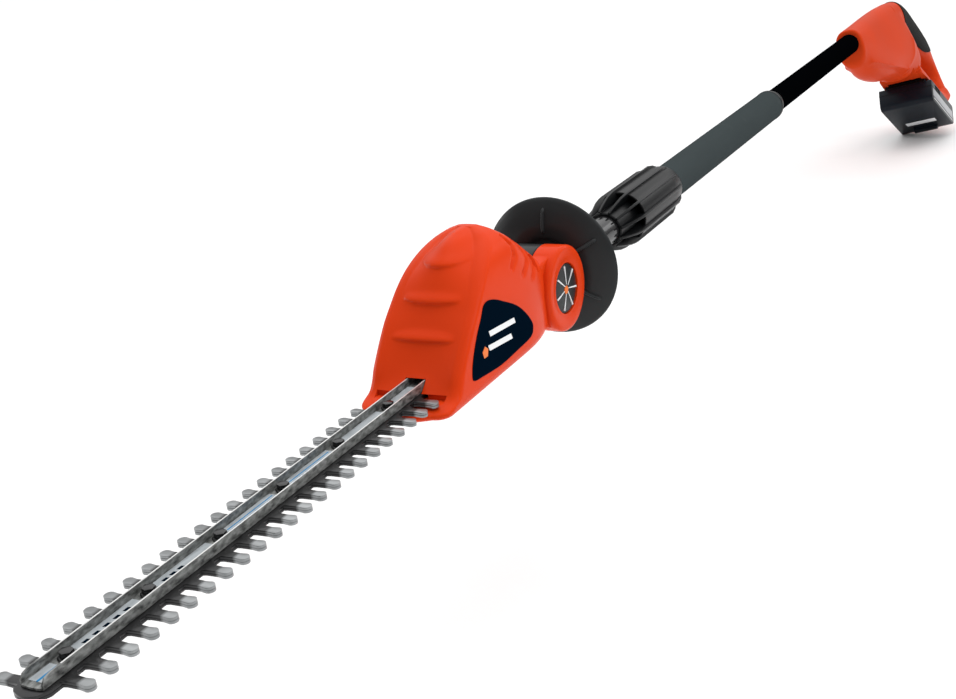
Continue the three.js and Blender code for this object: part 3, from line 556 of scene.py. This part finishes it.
def head_point(x, y, z, zone, sign):
    """Raises the ribs on the front and sinks the grooves in the side."""
    if zone < 2:
        for zr, half in RIBS:
            u = min(abs(y) / half, 1)
            r = math.sqrt(1 - u * u)
            d = (z - zr) / (1.6 + 2.6 * r)
            x += 4.0 * r ** 1.2 * math.exp(-abs(d) ** 2.4 * (2.2 if d < 0 else 0.8))
    elif zone == 2:
        for path in GROOVES:
            d = near_path(path, x, z)
            if d < 7:
                y -= 3.1 * math.exp(-(d / 2.2) ** 2)
    return (x, sign * y, z)


levels = [-15.5 + 1.0 * i for i in range(100)]
levels += [84.5 + 0.6 * i for i in range(1, 48)]
levels = [z for z in levels if z < HEAD_TOP] + [HEAD_TOP]
rings = []
for z in levels:
    half = head_side(z)
    ring = [head_point(x, y, z, zone, 1) for x, y, zone in half]
    ring += [head_point(x, y, z, zone, -1) for x, y, zone in reversed(half[1:-1])]
    rings.append(ring)
for scale, rise in ((0.8, 0.5), (0.55, 0.9), (0.25, 1.15)):
    crown = rings[len(levels) - 1]
    rings.append([(-557 + (x + 557) * scale, y * scale, HEAD_TOP + rise) for x, y, z in crown])
head = loft("head_housing", rings, angle=50)


def cheek(side):
    """The drum round one pivot button and the arm that joins it to the housing."""
    outer = 45.0
    profile = [(side * 19.9, 0), (side * 19.9, 43)]
    for i in range(7):
        a = i / 6 * math.pi / 2
        profile.append((side * (outer - 4.5 + 4.5 * math.sin(a)), 43 - 4.5 * (1 - math.cos(a))))
    profile += [(side * outer, 30), (side * (outer - 1.2), 27.8), (side * (outer - 1.2), 0)]
    drum = lathe("drum", profile, PIVOT_X, PIVOT_Z, "Y", 128)
    arm_outline = [(PIVOT_X, PIVOT_Z + 41), (PIVOT_X + 40, PIVOT_Z + 36), (PIVOT_X + 44, PIVOT_Z - 28),
                   (PIVOT_X, PIVOT_Z - 40)]
    arm = prism("arm", arm_outline, side * 19.9, side * 37.5, "xz")
    bevel(arm, 2.5, 3)
    bake(arm)
    return [drum, arm]


cutter = lathe("slot_round", [(-19.8, 0), (-19.8, 45.3), (19.8, 45.3), (19.8, 0)], PIVOT_X, PIVOT_Z, "Y",
               96)
boolean(head, cutter)
boolean(head, box("slot_box", -800, PIVOT_X + 24, -19.8, 19.8, -80, 140))
boolean(head, box("mouth", -478, -380, -16, 16, -2.4, 2.4))
boolean(head, box("mouth_sides", -433.6, -380, -35, 35, -2.5, 2.45))
boolean(head, box("bar_mouth", -478, -380, -10.4, 10.4, -7, 11.6))
for side in (1, -1):
    for lump in cheek(side):
        boolean(head, lump, "UNION")
    pocket = lathe("pocket", [(side * 24, 0), (side * 24, 25.5), (side * 60, 25.5), (side * 60, 0)],
                   PIVOT_X, PIVOT_Z, "Y", 96)
    boolean(head, pocket)
# small three-cornered recess ahead of each drum
for side in (1, -1):
    wedge = [(-587.5, 60, 88.9), (-644.7, 60, 75.8), (-621.8, 60, 34.9), (-612, 24, 66)]
    notch = mesh("notch", [(x, side * y, z) for x, y, z in wedge],
                 [(0, 1, 2), (0, 3, 1), (1, 3, 2), (2, 3, 0)])
    boolean(head, notch)
shade(head, 40)
paint(head, ORANGE)
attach(head, "head")
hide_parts("head_shell_left", "head_shell_right")


def side_y(x, z):
    """Half width of the housing at a point of its side view."""
    half = [(a, b) for a, b, zone in head_side(z) if zone > 0]
    for (xa, ya), (xb, yb) in zip(half, half[1:]):
        if xb <= x <= xa:
            return ya + (yb - ya) * ((x - xa) / (xb - xa) if xa != xb else 0)
    return half[0][1] if x > half[0][0] else 0


PATCH_STEP = 1.6


def side_patch(name, outline, side, lift, m, thick):
    """A thin moulded or printed patch that follows the side of the housing."""
    us = [p[0] for p in outline]
    vs = [p[1] for p in outline]
    bm = bmesh.new()
    bm.faces.new([bm.verts.new((u, 0, v)) for u, v in outline])
    u = min(us) + PATCH_STEP
    while u < max(us):
        bmesh.ops.bisect_plane(bm, geom=bm.verts[:] + bm.edges[:] + bm.faces[:], plane_co=(u, 0, 0),
                               plane_no=(1, 0, 0))
        u += PATCH_STEP * 2
    v = min(vs) + PATCH_STEP
    while v < max(vs):
        bmesh.ops.bisect_plane(bm, geom=bm.verts[:] + bm.edges[:] + bm.faces[:], plane_co=(0, 0, v),
                               plane_no=(0, 0, 1))
        v += PATCH_STEP * 2
    for vert in bm.verts:
        x, _, z = vert.co
        y = side_y(x, z) + lift
        vert.co = (Vector((x, side * y, z)) + ORIGIN) / 1000
    me = bpy.data.meshes.new(name)
    bmesh.ops.recalc_face_normals(bm, faces=bm.faces)
    bm.to_mesh(me)
    bm.free()
    o = bpy.data.objects.new(name, me)
    bpy.context.scene.collection.objects.link(o)
    mod = o.modifiers.new("thick", "SOLIDIFY")
    mod.thickness = thick / 1000
    mod.offset = 0
    bake(o, 40)
    paint(o, m)
    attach(o, "head")
    return o


PANEL = smooth_loop([(-505, 63), (-517, 60), (-530, 54), (-555, 41), (-572, 27), (-582, 15), (-583, 8),
                     (-576, 2), (-545, 0), (-513, -1), (-480, 2), (-464, 4), (-461, 9), (-466, 23),
                     (-477, 40), (-489, 53), (-496, 61)], 4)
for side, tag in ((1, "left"), (-1, "right")):
    side_patch(f"side_panel_{tag}", PANEL, side, 0.25, NAVY, 0.5)
    for k, (x0, x1, z) in enumerate(((-500, -549, 29), (-496, -540, 17))):
        tilt = 2.5
        outline = [(x0, z + tilt), (x0 + 2, z + 5.5 + tilt), (x1 + 2, z + 5.5 - tilt), (x1, z - tilt)]
        side_patch(f"side_bar_{tag}_{k}", outline, side, 0.62, WHITE, 0.2)
    corners = [math.radians(72 * k + 20) for k in range(5)]
    ring = [(-488 + 5.6 * math.cos(a), 21 + 5.6 * math.sin(a)) for a in corners]
    side_patch(f"side_badge_{tag}", ring, side, 0.62, BADGE, 0.2)


def pivot_button(side, body, node):
    """Round button with seven pale spokes and a small off-centre hub."""
    face = 42.6
    profile = [(side * 28.6, 0), (side * 28.6, 24.8), (side * (face - 1.2), 24.8),
               (side * (face - 0.3), 24.2), (side * face, 23.2),
               (side * (face + 0.9), 14), (side * (face + 1.2), 0)]
    o = lathe(f"pivot_button_face_{'left' if side > 0 else 'right'}", profile, PIVOT_X, PIVOT_Z, "Y", 96)
    paint(o, CHARCOAL)
    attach(o, body)
    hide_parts(node)
    spokes = []
    for k in range(7):
        a = math.radians(90 + k * 180 / 3.5)
        ca, sa = math.cos(a), math.sin(a)
        outline = [(4, -0.45), (22.5, -0.8), (22.5, 0.8), (4, 0.45)]
        pts = [(PIVOT_X + u * ca - v * sa, PIVOT_Z + u * sa + v * ca) for u, v in outline]
        spoke = prism("spoke", pts, side * (face - 0.2), side * (face + 1.25), "xz")
        spokes.append(spoke)
    s = join(f"pivot_spokes_{'left' if side > 0 else 'right'}", spokes)
    paint(s, WHITE)
    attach(s, body)
    hub_profile = [(side * (face + 0.6), 0), (side * (face + 0.6), 4.6), (side * (face + 1.7), 4.2),
                   (side * (face + 1.9), 0)]
    hub = lathe(f"pivot_hub_{'left' if side > 0 else 'right'}", hub_profile, PIVOT_X + 2, PIVOT_Z - 1, "Y",
                6, angle=20)
    paint(hub, BADGE)
    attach(hub, body)


pivot_button(1, "button_left", "pivot_button_left")
pivot_button(-1, "button_right", "pivot_button_right")

# ---- knuckle, guard disc, pole ------------------------------------------------------------------------
barrel = lathe("barrel", [(-18.8, 0), (-18.8, 41), (-18.2, 42.1), (-17.2, 42.6), (17.2, 42.6), (18.2, 42.1),
                          (18.8, 41), (18.8, 0)],
               PIVOT_X, PIVOT_Z, "Y", 128)
neck_rows = [(0, PIVOT_X - 14, 15, 24, 3, 17), (1, PIVOT_X - 40, 17, 26, 3, 18),
             (2, DISC_X + 8, 20, 25, 2.6, 19), (3, DISC_X + 2, 24.5, 24.5, 2, DISC_Z),
             (4, DISC_X - 6, 24.5, 24.5, 2, DISC_Z), (5, DISC_X - 9, 22, 23, 2, 17),
             (6, DISC_X - 20, 21, 21, 2, AXIS_Z), (7, DISC_X - 24, 20.2, 20.2, 2, AXIS_Z)]
neck_rings = []
for i in range(57):
    _, x, hy, hz, p, zc = spline(neck_rows, i / 8)
    angles = [2 * math.pi * k / 96 for k in range(96)]
    neck_rings.append([(x, hy * power(math.cos(t), p), zc + hz * power(math.sin(t), p)) for t in angles])
neck = loft("neck", neck_rings)
bore = lathe("bore", [(-721.7, 0), (-721.7, FRONT_R + 0.1), (-800, FRONT_R + 0.1), (-800, 0)], 0, AXIS_Z,
             "X", 96)
boolean(barrel, neck, "UNION")
boolean(barrel, bore)
barrel.name = "knuckle_casting"
shade(barrel, 40)
paint(barrel, CHARCOAL)
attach(barrel, "pole_front")
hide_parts("knuckle")


def disc_front(r):
    """How far the dished front of the guard stands ahead of its middle plane at a radius."""
    rows = [(24.9, 2), (30, 2.2), (33, 4.6), (36, 5.6), (42, 5.8), (48, 5.2), (55, 3.3), (62, 1),
            (68, -1.6), (71.5, -3.5), (73.3, -5.2)]
    return spline(rows, r)[1]


radii = [24.9 + (73.3 - 24.9) * i / 60 for i in range(61)]
profile = [(DISC_X + disc_front(r), r) for r in radii] + [(DISC_X - 6.3, 73.5), (DISC_X - 6.8, 72.9)]
profile += [(DISC_X + disc_front(r) - 3.0, r) for r in reversed(radii[:-2])]
profile.append(profile[0])
disc = lathe("guard_shield", profile, 0, DISC_Z, "X", 160, angle=30)
ribs = []
for k in range(6):
    a = math.radians(k * 60 + 30)
    ring_rows = []
    for i in range(17):
        r = 38 + 26 * i / 16
        end = min(i, 16 - i) / 2.0
        h = 3.2 * min(1, end) ** 0.6 if end > 0 else 0.1
        w = 1.9 * min(1, 0.4 + end)
        sec = []
        for s in range(12):
            t = 2 * math.pi * s / 12
            sec.append((DISC_X + disc_front(r) - 0.6 + (h + 0.6) * max(math.sin(t), -0.4), w * math.cos(t)))
        ring_rows.append([(x, r * math.cos(a) - v * math.sin(a),
                           DISC_Z + r * math.sin(a) + v * math.cos(a)) for x, v in sec])
    ribs.append(loft("rib", ring_rows, angle=60))
disc = join("guard_shield", [disc] + ribs)
shade(disc, 40)
paint(disc, CHARCOAL)
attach(disc, "pole_front")
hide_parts("guard_disc")


def pipe(name, r, bore_r, x0, x1, m, body, node):
    o = lathe(name, [(x0, bore_r), (x0, r - 0.5), (x0 - 0.5, r), (x1 + 0.5, r), (x1, r - 0.5), (x1, bore_r),
                     (x0, bore_r)],
              0, AXIS_Z, "X", 96)
    paint(o, m)
    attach(o, body)
    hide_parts(node)
    return o


pipe("front_pole", FRONT_R, FRONT_R - 1.5, FRONT_TUBE_START, -1425, TUBE_GREY, "pole_front",
     "front_tube")
pipe("outer_pole", SLEEVE_R, REAR_R + 0.3, -1057, -1505, TUBE_SATIN, "handle", "grip_sleeve")
pipe("rear_pole", REAR_R, REAR_R - 1.5, -1440, -2085, TUBE_GLOSS, "handle", "rear_tube")
cap_profile = [(-1505.3, REAR_R + 0.1), (-1505.3, SLEEVE_R + 0.2), (-1506, SLEEVE_R + 0.4),
               (-1511, SLEEVE_R + 0.4),
               (-1513, SLEEVE_R - 0.4), (-1522, 19.8), (-1524.5, 19.0), (-1525, 18.6), (-1525, REAR_R + 0.1),
               (-1505.3, REAR_R + 0.1)]
cap = lathe("reducer_cap", cap_profile, 0, AXIS_Z, "X", 96)
paint(cap, BLACK)
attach(cap, "handle")
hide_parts("sleeve_cap")

hub_profile = [(-868, FRONT_R + 0.2), (-868, 19.2), (-869.2, 20.4), (-874, 20.6), (-1056.7, 20.6),
               (-1056.7, FRONT_R + 0.35), (-868, FRONT_R + 0.2)]
hub = lathe("clamp_barrel", hub_profile, 0, AXIS_Z, "X", 96)
paint(hub, BLACK)
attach(hub, "handle")
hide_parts("collar_hub")


def collar():
    """Twist collar: a thick ring with twelve ribs that run past its front."""
    shell = lathe("shell", [(-918, 28.0), (-918, 29.6), (-918.8, 30.5), (-1022, 30.5), (-1030, 29.8),
                            (-1048, 27.2), (-1054, 25.4), (-1056, 24.2), (-1056, 23), (-1054, 22.8),
                            (-1036, 21), (-952, 21), (-952, 28.0), (-918, 28.0)],
                  0, AXIS_Z, "X", 128)
    parts = [shell]
    for k in range(12):
        rib = prism("rib", [(-866.5, 21.2), (-866.5, 22.4), (-872, 24.8), (-886, 29), (-896, 31.6),
                            (-908, 33.2), (-914, 33.6), (-1026, 33.6), (-1038, 31.2), (-1047, 27.6),
                            (-1048, 24), (-953, 22), (-952, 21.2)], -1.45, 1.45, "xz")
        bevel(rib, 0.55, 3)
        bake(rib)
        turn = Matrix.Rotation(math.radians(k * 30 + 10), 4, "X")
        place = Matrix.Translation(Vector((0, ORIGIN.y, ORIGIN.z + AXIS_Z)) / 1000)
        for v in rib.data.vertices:
            local = Vector((v.co.x, v.co.y - ORIGIN.y / 1000, v.co.z - ORIGIN.z / 1000))
            v.co = place @ (turn @ local)
        parts.append(rib)
    o = join("twist_collar", parts)
    shade(o, 35)
    paint(o, BLACK)
    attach(o, "collar")
    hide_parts("collar_nut")


collar()

# ---- handle -------------------------------------------------------------------------------------------
BODY = [
    (-2018, 3, -1, 0, 27.0, 33, 22.5, 24.5, 2.6), (-2024, 4, -1, 0, 29.5, 39, 24, 26, 2.6),
    (-2036, 6, -1, 0, 32, 45, 24.5, 27, 2.4), (-2090, 20, -1, 0, 47, 60, 25, 32, 2.4),
    (-2155, 30, -1, 0, 58, 68, 25, 37, 2.5), (-2228, 38, -1, 0, 66, 71, 25, 42, 2.6),
    (-2300, 50, -1, 0, 76, 79, 25, 46, 2.6), (-2345, 56, -1, 0, 79, 82, 24, 47, 2.8),
    (-2362, 58, -1, 0, 76, 78, 23, 46, 2.8)]
GRIP = [
    (-2320, 8, -1, 0.05, 32, 26, 22, 22, 2.4), (-2370, 14, -1, 0.3, 35, 27, 22, 21, 2.4),
    (-2412, 29, -1, 0.62, 36, 27, 21.5, 20, 2.4), (-2455, 57, -1, 0.75, 37, 26, 21, 19, 2.4),
    (-2500, 88, -1, 0.85, 37, 25, 20.5, 18.5, 2.4), (-2538, 118, -0.8, 1, 36, 20, 20, 18, 2.4),
    (-2562, 150, -0.3, 1, 28, 14, 20, 18, 2.4), (-2566, 178, 0.1, 1, 22, 15, 25, 22, 2.6),
    (-2550, 204, 0.5, 1, 18, 20, 34, 34, 3)]
FOOT = [
    (-2330, 126, -0.843, 0.538, 26, 12, 40, 46, 4), (-2372, 150, -0.843, 0.538, 18, 15, 42, 48, 4),
    (-2430, 187, -0.843, 0.538, 16, 16, 42, 48, 4), (-2490, 214, -0.87, 0.5, 16, 14, 42, 48, 4),
    (-2540, 216, -0.87, 0.4, 22, 10, 38, 46, 3.4), (-2556, 214, -0.9, 0.4, 14, 6, 30, 40, 3)]


RING_POINTS, RINGS_PER_ROW = 72, 6


def handle_ring(row):
    """One cross-section: place, direction, reach above and below, half widths and roundness."""
    x, drop, dx, dr, up, low, w_up, w_low, p = row
    length = math.hypot(dx, dr)
    nx, nr = -dr / length, dx / length
    ring = []
    for i in range(RING_POINTS):
        a = 2 * math.pi * i / RING_POINTS
        s = power(math.sin(a), p)
        t = (s + 1) / 2
        h = up * s if s > 0 else low * s
        w = (w_low + (w_up - w_low) * t * t * (3 - 2 * t)) * power(math.cos(a), p)
        ring.append((x + nx * h, w, AXIS_Z - (drop + nr * h)))
    return ring


def handle_loft(name, rows):
    table = [(i, *row) for i, row in enumerate(rows)]
    count = (len(rows) - 1) * RINGS_PER_ROW
    return loft(name, [handle_ring(spline(table, i / RINGS_PER_ROW)[1:]) for i in range(count + 1)])


CREASE = [(-2052, 46), (-2110, 62), (-2190, 84), (-2262, 104)]
CREASE_REAR = [(-2262, 104), (-2318, 84), (-2350, 60)]


def handle_shape():
    """Body, grip and foot in one skin, remeshed so that they flow into each other."""
    o = handle_loft("handle_moulding", BODY)
    boolean(o, handle_loft("grip", GRIP), "UNION")
    boolean(o, handle_loft("foot", FOOT), "UNION")
    mod = o.modifiers.new("remesh", "REMESH")
    mod.mode = "VOXEL"
    mod.voxel_size = 0.0021
    mod = o.modifiers.new("soft", "CORRECTIVE_SMOOTH")
    mod.iterations = 3
    mod.use_only_smooth = True
    bake(o)
    return o


def raise_creases(o):
    """Lifts the two side creases and hollows the panel below them."""
    for v in o.data.vertices:
        x, y, z = Vector(v.co) * 1000 - ORIGIN
        drop = AXIS_Z - z
        if abs(y) > 12 and x > -2370:
            lift = 4.6 * math.exp(-near_path(CREASE, x, drop) / 6) * (1 if drop > 20 else 0)
            below = drop - (46 + (x + 2052) * -0.276)
            if below > 0 and x > -2300:
                lift -= 3.0 * math.sin(min(below / 42, 1) * math.pi)
            lift += 2.0 * math.exp(-near_path(CREASE_REAR, x, drop) / 8)
            fade = min(1, (abs(y) - 12) / 10) * min(1, max(0, (-x - 2010) / 50))
            v.co.y += math.copysign(lift * fade, y) / 1000


handle = handle_shape()
raise_creases(handle)
overmould = handle.copy()
overmould.data = handle.data.copy()
overmould.name = "grip_cover"
bpy.context.scene.collection.objects.link(overmould)
overmould.data.update()
normals = [v.normal.copy() for v in overmould.data.vertices]
for v, nrm in zip(overmould.data.vertices, normals):
    v.co += nrm * 0.0012


def drawn(points):
    """Turns (x, drop below the pole axis) into (x, z)."""
    return [(x, AXIS_Z - drop) for x, drop in points]


BATTERY_FRONT, BATTERY_PITCH = (-2325, 183), math.radians(32.7)
BATTERY_LENGTH, BATTERY_HALF, BATTERY_HEIGHT = 164, 53, 44
NECK_TOP, RAIL_TOP, RAIL_HALF = -50, -60, 33


def battery_shape(points):
    """Turns (along, out) of the battery's own frame into (x, z); out points away from the handle."""
    c, s = math.cos(BATTERY_PITCH), math.sin(BATTERY_PITCH)
    return drawn([(BATTERY_FRONT[0] - a * c + o * s, BATTERY_FRONT[1] + a * s + o * c) for a, o in points])


region = smooth_loop([(-2352, -60), (-2375, -18), (-2384, 14), (-2388, 34), (-2404, 52), (-2434, 71),
                      (-2478, 96), (-2513, 113), (-2548, 119), (-2574, 116), (-2592, 108), (-2640, 100),
                      (-2620, 0), (-2500, -70)], 5)
boolean(overmould, prism("region", drawn(region), -70, 70, "xz"), "INTERSECT")
boolean(handle, prism("under", battery_shape([(-60, 60), (-60, NECK_TOP - 0.6), (260, NECK_TOP - 0.6),
                                              (260, 60)]), -70, 70, "xz"))
boolean(handle, prism("channel", battery_shape([(-3, -20), (-3, RAIL_TOP - 0.5), (260, RAIL_TOP - 0.5),
                                                (260, -20)]),
                      -RAIL_HALF - 0.5, RAIL_HALF + 0.5, "xz"))
trigger_slot = drawn([(-2384, 34), (-2490, 92), (-2470, 130), (-2378, 84)])
boolean(handle, prism("slot", trigger_slot, -8.6, 8.6, "xz"))
boolean(overmould, prism("slot", trigger_slot, -8.6, 8.6, "xz"))
LOCK_X, LOCK_Z = -2352, AXIS_Z - 22
boolean(handle, lathe("hole", [(-60, 0), (-60, 8.6), (-5, 8.6), (-5, 0)], LOCK_X, LOCK_Z, "Y", 48))
boolean(handle, lathe("socket", [(-1960, 0), (-1960, REAR_R + 0.2), (-2200, REAR_R + 0.2), (-2200, 0)], 0,
                      AXIS_Z, "X", 96))


def turned(o):
    """Rolls a finished handle piece with the handle."""
    roll = Matrix.Scale(0.001, 4) @ ROLL @ Matrix.Scale(1000, 4)
    o.data.transform(Matrix.Translation(ORIGIN / 1000) @ roll @ Matrix.Translation(-ORIGIN / 1000))
    return o


for o, m, slot_name, nodes_for in ((handle, HANDLE_ORANGE, "orange_shell",
                                    ("handle_shell_left", "handle_shell_right")),
                                   (overmould, RUBBER, "rubber", ("grip_overmould",))):
    turned(o)
    shade(o, 45)
    paint(o, m)
    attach(o, "handle")
    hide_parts(*nodes_for)


def part(name, outline, lo, hi, m, body, node=None, width=1.2, cut=()):
    """A bevelled prism that rolls with the handle."""
    o = prism(name, outline, lo, hi, "xz")
    for c in cut:
        boolean(o, c)
    bevel(o, width, 3)
    bake(o, 35)
    turned(o)
    paint(o, m)
    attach(o, body)
    if node:
        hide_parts(node)
    return o


trigger_outline = smooth_loop(drawn([(-2392, 58), (-2414, 70), (-2440, 85), (-2470, 103), (-2475, 111),
                                     (-2462, 116), (-2444, 110), (-2424, 97), (-2406, 88), (-2391, 77),
                                     (-2387, 66)]), 5)
part("trigger_blade", trigger_outline, -7.8, 7.8, BLACK, "trigger_lever", "trigger", 2.0)
button_profile = [(-14, 0), (-14, 7.9), (-26.6, 7.9), (-27.8, 7.2), (-28.3, 5.8), (-27.6, 3), (-27.4, 0)]
button = lathe("lock_off_cap", button_profile, LOCK_X, LOCK_Z, "Y", 48)
turned(button)
paint(button, BLACK)
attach(button, "lock_button")
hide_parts("lock_off_button")

L, H = BATTERY_LENGTH, BATTERY_HEIGHT
latch_cuts = []
for side in (1, -1):
    pocket = prism("pocket", battery_shape([(27, -42), (63, -42), (63, -32), (27, -32)]), side * 43,
                   side * 60, "xz")
    latch_cuts.append(pocket)
slot_cut = prism("slot", battery_shape([(L - 42, -1.6), (L - 42, 20), (L - 30, 20), (L - 30, -1.6)]), -21,
                 21, "xz")
NOSE_R = 11
front_round = []
for k in range(7):
    a = math.radians(15 * k)
    front_round.append((NOSE_R - NOSE_R * math.sin(a), -NOSE_R + NOSE_R * math.cos(a)))
front_edge = [(1.5, -H + 1), (0, -H + 4)] + list(reversed(front_round))
rear_edge = [(L - 14, 0), (L - 8, -1.4), (L - 3, -5), (L, -13), (L, -H + 3), (L - 3, -H), (4, -H)]
body_outline = battery_shape(front_edge + rear_edge)
part("battery_body", body_outline, -BATTERY_HALF, BATTERY_HALF, BATTERY, "battery", "battery_case", 3.2,
     cut=latch_cuts + [slot_cut])
part("battery_neck", battery_shape([(3, -H + 2), (3, NECK_TOP), (L - 36, NECK_TOP), (L - 22, -H + 2)]),
     -RAIL_HALF - 7, RAIL_HALF + 7,
     BLACK, "battery", None, 1.6)
part("battery_rails",
     battery_shape([(5, NECK_TOP + 3), (5, RAIL_TOP + 3), (8, RAIL_TOP), (96, RAIL_TOP),
                    (96, NECK_TOP + 3)]), -RAIL_HALF,
     RAIL_HALF, BLACK, "battery", None, 1.2)
part("battery_foot_bar",
     battery_shape([(L - 28, -2), (L - 28, 4), (L - 25, 6.2), (L - 17, 6.2), (L - 11, -2)]), -24, 24,
     BATTERY, "battery",
     None, 1.2)
part("battery_belt", battery_shape([(-0.5, -31.2), (L + 0.2, -31.2), (L + 0.2, -29.8), (-0.5, -29.8)]),
     -BATTERY_HALF - 0.35,
     BATTERY_HALF + 0.35, BLACK, "battery", None, 0.3)
part("battery_base_label", battery_shape([(L - 66, -0.2), (L - 66, 0.35), (L - 50, 0.35), (L - 50, -0.2)]),
     -30, 30, WHITE, "battery", None, 0.2)
part("battery_side_line_left", battery_shape([(14, -8.5), (14, -6.8), (L - 12, -6.8), (L - 12, -8.5)]),
     BATTERY_HALF - 0.3,
     BATTERY_HALF + 0.35, WHITE, "battery", None, 0.15)
for side, tag in ((1, "left"), (-1, "right")):
    part(f"battery_side_label_{tag}", battery_shape([(10, -28.5), (10, -12), (L - 9, -12), (L - 9, -28.5)]),
         side * (BATTERY_HALF - 0.3),
         side * (BATTERY_HALF + 0.4), LABEL, "battery", None, 0.15)
    part(f"latch_pad_{tag}",
         battery_shape([(30, -41), (60, -41), (62, -39), (62, -35), (60, -33), (30, -33), (28, -35),
                        (28, -39)]),
         side * 46, side * 51.5, BLACK, f"latch_{tag}", f"battery_latch_{tag}", 1.2)
    for k in range(3):
        part(f"latch_rib_{tag}_{k}",
             battery_shape([(36 + 9 * k, -40), (38 + 9 * k, -40), (38 + 9 * k, -34), (36 + 9 * k, -34)]),
             side * 51, side * 52.3, BLACK, f"latch_{tag}", None, 0.4)

# ---- hidden drive and switch parts keep their CAD shape ------------------------------------------------
for name in ("drive_gear", "motor_pinion", "motor", "gearbox_plate", "pivot_pin"):
    bevel(node_paint(name, STEEL), 0.3)
for name in ("switch_module", "terminal_block"):
    bevel(node_paint(name, BLACK), 0.3)

# ---- stage, light and camera ----------------------------------------------------------------------------
floor = bpy.data.objects.new("floor", bpy.data.meshes.new("floor"))
bpy.context.scene.collection.objects.link(floor)
FLOOR_HALF, FLOOR_Z = 60, -0.001
corners = [(-FLOOR_HALF, -FLOOR_HALF), (FLOOR_HALF, -FLOOR_HALF), (FLOOR_HALF, FLOOR_HALF),
           (-FLOOR_HALF, FLOOR_HALF)]
floor.data.from_pydata([(x, y, FLOOR_Z) for x, y in corners], [], [(0, 1, 2, 3)])
pale = material("pale_floor", (0.88, 0.88, 0.88), 0.9, vary=0.01, grain=(50, 0.0), specular=0.1)
paint(floor, pale)


def studio_world():
    """White surroundings, brightest overhead and towards the rear of the tool."""
    world = bpy.data.worlds.new("studio")
    bpy.context.scene.world = world
    world.use_nodes = True
    nodes, links = world.node_tree.nodes, world.node_tree.links
    sky = nodes["Background"]
    sky.inputs["Color"].default_value = (1, 1, 1, 1)
    direction = nodes.new("ShaderNodeTexCoord")
    split = nodes.new("ShaderNodeSeparateXYZ")
    links.new(direction.outputs["Generated"], split.inputs["Vector"])
    overhead = nodes.new("ShaderNodeMapRange")
    overhead.inputs["To Min"].default_value = 0.10
    overhead.inputs["To Max"].default_value = 2.05
    links.new(split.outputs["Z"], overhead.inputs["Value"])
    rearward = nodes.new("ShaderNodeMapRange")
    rearward.inputs["From Min"].default_value = -1
    rearward.inputs["To Min"].default_value = 1.45
    rearward.inputs["To Max"].default_value = 0.22
    links.new(split.outputs["X"], rearward.inputs["Value"])
    both = nodes.new("ShaderNodeMath")
    both.operation = "MULTIPLY"
    links.new(overhead.outputs["Result"], both.inputs[0])
    links.new(rearward.outputs["Result"], both.inputs[1])
    links.new(both.outputs["Value"], sky.inputs["Strength"])


def at(x, y, z):
    """A place in the millimetre frame, in metres."""
    return (Vector((x, y, z)) + ORIGIN) / 1000


def softbox(name, place, target, size, watts):
    light = bpy.data.lights.new(name, "AREA")
    light.shape = "RECTANGLE"
    light.size, light.size_y = size
    light.energy = watts
    o = bpy.data.objects.new(name, light)
    bpy.context.scene.collection.objects.link(o)
    o.location = place
    o.rotation_euler = (Vector(target) - Vector(place)).to_track_quat("-Z", "Y").to_euler()
    return o


studio_world()
middle = at(-900, 0, 0)
softbox("key", at(-700, 2100, 1500), middle, (1.6, 0.9), 13)
softbox("rim", at(-300, -2300, 500), at(-500, 0, 0), (1.2, 0.7), 9)
softbox("top", at(-1200, 300, 2600), middle, (3.4, 1.0), 7)
softbox("rear", at(-3300, 900, 900), at(-2300, 0, 0), (1.0, 0.6), 3)

camera = bpy.data.objects.new("camera", bpy.data.cameras.new("camera"))
bpy.context.scene.collection.objects.link(camera)
camera.data.sensor_width = 36
camera.data.lens = 50.69
camera.data.clip_start, camera.data.clip_end = 0.02, 60
right = Vector((-0.4612, 0.8788, -0.1226))
up = Vector((-0.3650, -0.0620, 0.9289))
look = Vector((-0.8087, -0.4732, -0.3493))
turn = Matrix((right, up, -look)).transposed().to_4x4()
camera.matrix_world = Matrix.Translation(at(466.8, 598.0, 435.8)) @ turn
bpy.context.scene.camera = camera
bpy.context.scene.view_settings.view_transform = "Standard"
